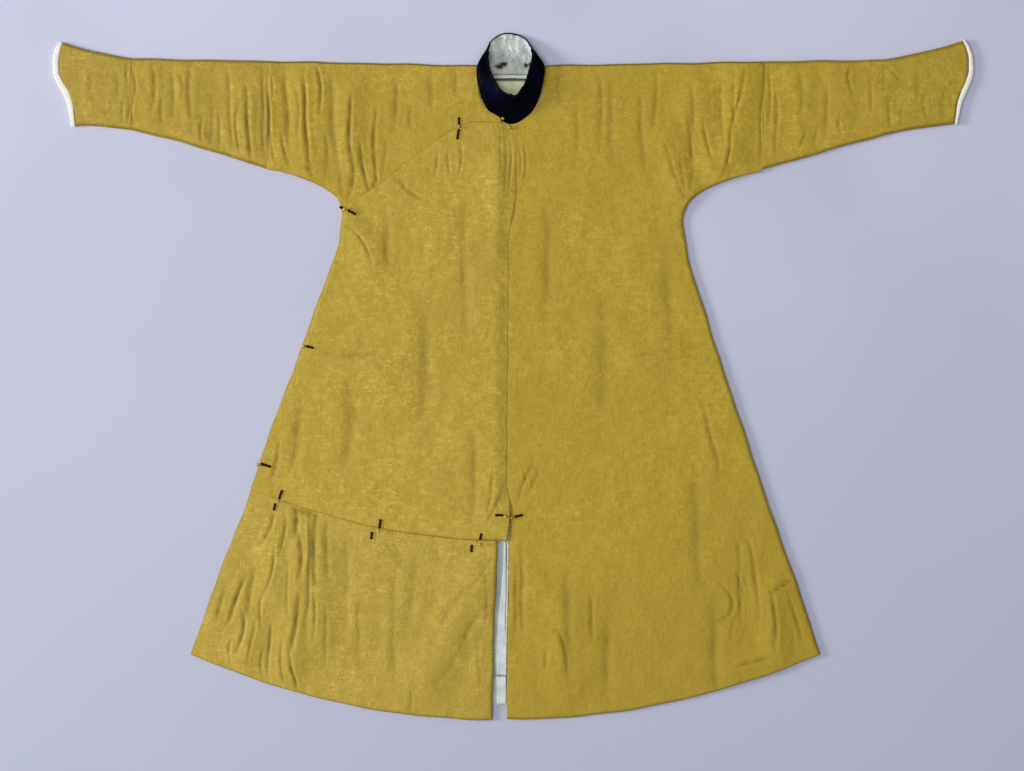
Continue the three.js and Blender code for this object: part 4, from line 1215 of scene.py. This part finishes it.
# ---- Fastening strips ---------------------------------------------------------------------------
# Narrow dark cords, doubled and sewn flat side by side: the loops end in an eye for the ball and
# the knob strips hold the ball's shank. They are couched down along their whole length.

# Name, start x, y, end x, y and the cloth each one is sewn to.
STRIPS = [
    ("lapel_loop", -124, 573.5, -124, 590, "body_right"),
    ("lapel_knob", -124, 564, -128, 541, "overlap"),
    ("armpit_loop", -377, 379, -359, 370, "overlap"),
    ("armpit_knob", -396, 388, -389.5, 384, "body_right"),
    ("upper_side_loop", -471, 70, -455, 66, "overlap"),
    ("lower_side_loop", -575, -197, -552, -204, "overlap"),
    ("hem_left_loop", -526, -257, -533, -277, "overlap"),
    ("hem_left_knob", -542, -287, -545, -303, "skirt_piece"),
    ("hem_middle_loop", -302, -323, -305, -343, "overlap"),
    ("hem_middle_knob", -322, -352, -324, -368, "skirt_piece"),
    ("hem_right_loop", -73, -355, -76, -370, "overlap"),
    ("hem_right_knob", -95, -381, -96, -398, "skirt_piece"),
    ("slit_loop", -42, -314, -24, -314, "overlap"),
    ("slit_knob", 2, -318, 20, -314, "body_left"),
]
CORD = 1.6
CORD_SIDES = 8
# The cord's two runs lie this far from the strip's middle and meet round the eye at its end.
HALF_SPREAD = CORD * 0.82
EYE_DEPTH = 1.5


def cloth_height(piece, x, y):
    """Height of the cloth's upper face at a place."""
    x, y = np.array([float(x)]), np.array([float(y)])
    if piece == "overlap":
        return float((TOP + overlap_lift(x, y) + overlap_relief(x, y)[0])[0])
    if piece == "collar_band":
        return COLLAR_FOOT + 8
    relief = {"body_left": left_relief, "body_right": right_relief, "skirt_piece": skirt_relief}[piece]
    return float((TOP + relief(x, y)[0])[0])


def cord_along(name, points):
    """A round cord along a path, its surface ribbed by the twist."""
    path = np.array(points, float)
    run = np.gradient(path, axis=0)
    run /= np.linalg.norm(run, axis=1)[:, None]
    side = np.cross(run, (0.0, 0.0, 1.0))
    side /= np.maximum(np.linalg.norm(side, axis=1), 1e-6)[:, None]
    up = np.cross(side, run)
    turns = 2 * np.pi * np.arange(CORD_SIDES) / CORD_SIDES
    rings = []
    for k, centre in enumerate(path):
        size = CORD * (1 + 0.12 * np.sin(2 * turns + k * 1.1))
        out = np.outer(np.cos(turns), side[k]) + np.outer(np.sin(turns), up[k])
        rings.append(centre + out * size[:, None])
    return tube(name, rings)


cord_silk, tree, shader, place = material("fastening_cord", Roughness=0.65, Specular_IOR_Level=0.04)
base = colours(tree, noise(tree, place, 300.0), paint((42, 12, 0)), paint((76, 36, 0)))
coat(tree, shader, base, bump(tree, noise(tree, place, 900.0), 0.0005))
for name, x1, y1, x2, y2, cloth in STRIPS:
    start, end = np.array((x1, y1), float), np.array((x2, y2), float)
    length = np.hypot(*(end - start))
    way = (end - start) / length
    side = np.array((-way[1], way[0])) * HALF_SPREAD
    there = np.linspace(0.6, length - EYE_DEPTH, 14)
    path = [start + way * s + side for s in there]
    for turn in np.linspace(math.pi / 2, -math.pi / 2, 7)[1:-1]:
        eye = length - EYE_DEPTH + HALF_SPREAD * math.cos(turn)
        path.append(start + way * eye + side * math.sin(turn))
    path += [start + way * s - side for s in there[::-1]]
    high = [(x, y, cloth_height(cloth, x, y) + CORD * 0.9) for x, y in path]
    piece = cord_along(name + "_cord", high)
    piece.data.materials.append(cord_silk)
    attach(piece, "root")
    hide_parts(name)


# ---- Gilt balls ---------------------------------------------------------------------------------
# Small cast gilt balls with shallow flutes, each lying at the end of its cord. Their gilding is
# rubbed thin in patches.

# Name, x, y and the cloth or band that each one lies on.
BALLS = [
    ("lapel_ball", -124, 568.5, "overlap"), ("armpit_ball", -384, 381, "overlap"),
    ("upper_side_ball", -477, 70, "overlap"), ("lower_side_ball", -581, -199, "overlap"),
    ("hem_left_ball", -535, -282.5, "overlap"), ("hem_middle_ball", -307, -349, "overlap"),
    ("hem_right_ball", -76, -380, "overlap"), ("slit_loop_ball", -17.5, -317, "overlap"),
    ("slit_knob_ball", -4, -320, "body_left"), ("collar_ball", -24, 587.4, "collar_band"),
    ("neck_ball", -8, 567, "overlap"),
]
BALL_RADIUS = 3.7
BALL_RINGS, BALL_TURNS, FLUTES = 15, 24, 6

gilt, tree, shader, place = material("worn_gilt", Metallic=0.3, Roughness=0.34)
patchy = between(tree, noise(tree, place, 420.0, 2.0), 0.35, 0.65, 0.0, 1.0)
base = colours(tree, patchy, paint((222, 196, 112)), paint((146, 108, 30)))
coat(tree, shader, base)
turns = 2 * np.pi * np.arange(BALL_TURNS) / BALL_TURNS
for name, x, y, cloth in BALLS:
    low = max(cloth_height(cloth, x + dx, y) for dx in (-3, 0, 3))
    centre = np.array((x, y, low + BALL_RADIUS + 0.5))
    rings = []
    for k in range(BALL_RINGS):
        lean = math.pi * (k + 0.5) / BALL_RINGS
        size = BALL_RADIUS * (1 - 0.05 * (0.5 + 0.5 * np.cos(turns * FLUTES)) * math.sin(lean))
        out = size * math.sin(lean)
        ring = np.column_stack([out * np.cos(turns), out * np.sin(turns), size * math.cos(lean)])
        rings.append(centre + ring)
    piece = tube(name + "_gilt", rings)
    piece.data.materials.append(gilt)
    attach(piece, "root")
    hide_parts(name)


# ---- Floor, light and camera --------------------------------------------------------------------
# A pale lavender ground, a low lamp that rakes across from the left, a large soft one above it and
# an even fill. The camera looks straight down.

FLOOR = 6000
corners = [(-FLOOR, -FLOOR, -0.2), (FLOOR, -FLOOR, -0.2), (FLOOR, FLOOR, -0.2), (-FLOOR, FLOOR, -0.2)]
floor = solid("ground_sheet", corners, [(0, 1, 2, 3)])
made, tree, shader, place = material("ground_paper", Roughness=0.9, Specular_IOR_Level=0.1)
cloudy = between(tree, noise(tree, place, 1.6, 2.0), 0.35, 0.65, 0.0, 0.5)
depth = node(tree, "SeparateXYZ", {0: place}).outputs[1]
# Painted light falloff: the ground is lighter at the top and darker at the bottom.
painted_falloff = node(tree, "MapRange", {0: depth, 1: 1.0, 2: -1.0}).outputs[0]
base = colours(tree, painted_falloff, paint((215, 216, 240)), paint((190, 194, 214)))
base = colours(tree, cloudy, base, paint((196, 199, 221)))
coat(tree, shader, base)
floor.data.materials.append(made)
floor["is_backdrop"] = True

# Name, place, size and power.
LAMPS = [("raking_lamp", (-9.3, 0.5, 3.6), 2.4, 635), ("soft_lamp", (-2.5, -0.3, 8.0), 6.0, 292)]
for name, stand, size, energy in LAMPS:
    lamp = bpy.data.lights.new(name, "AREA")
    lamp.shape = "RECTANGLE"
    lamp.size = lamp.size_y = size
    lamp.energy = energy
    lamp.color = (1.0, 0.985, 0.96)
    lamp_stand = bpy.data.objects.new(name, lamp)
    lamp_stand.location = stand
    lamp_stand.rotation_euler = (-Vector(stand)).to_track_quat("-Z", "Y").to_euler()
    bpy.context.collection.objects.link(lamp_stand)

world = bpy.data.worlds.new("even_fill")
world.use_nodes = True
world.node_tree.nodes["Background"].inputs["Color"].default_value = (0.93, 0.96, 1.0, 1.0)
world.node_tree.nodes["Background"].inputs["Strength"].default_value = 0.30
scene = bpy.context.scene
scene.world = world
scene.view_settings.view_transform = "Standard"

eye = bpy.data.cameras.new("overhead")
eye.lens, eye.sensor_width = 85, 36
camera = bpy.data.objects.new("overhead", eye)
camera.location = (-0.0034, -0.0193, 5.512)
bpy.context.collection.objects.link(camera)
scene.camera = camera

size = {"cad": [list(corner) for corner in cad_box], "visual": [list(corner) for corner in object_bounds()]}
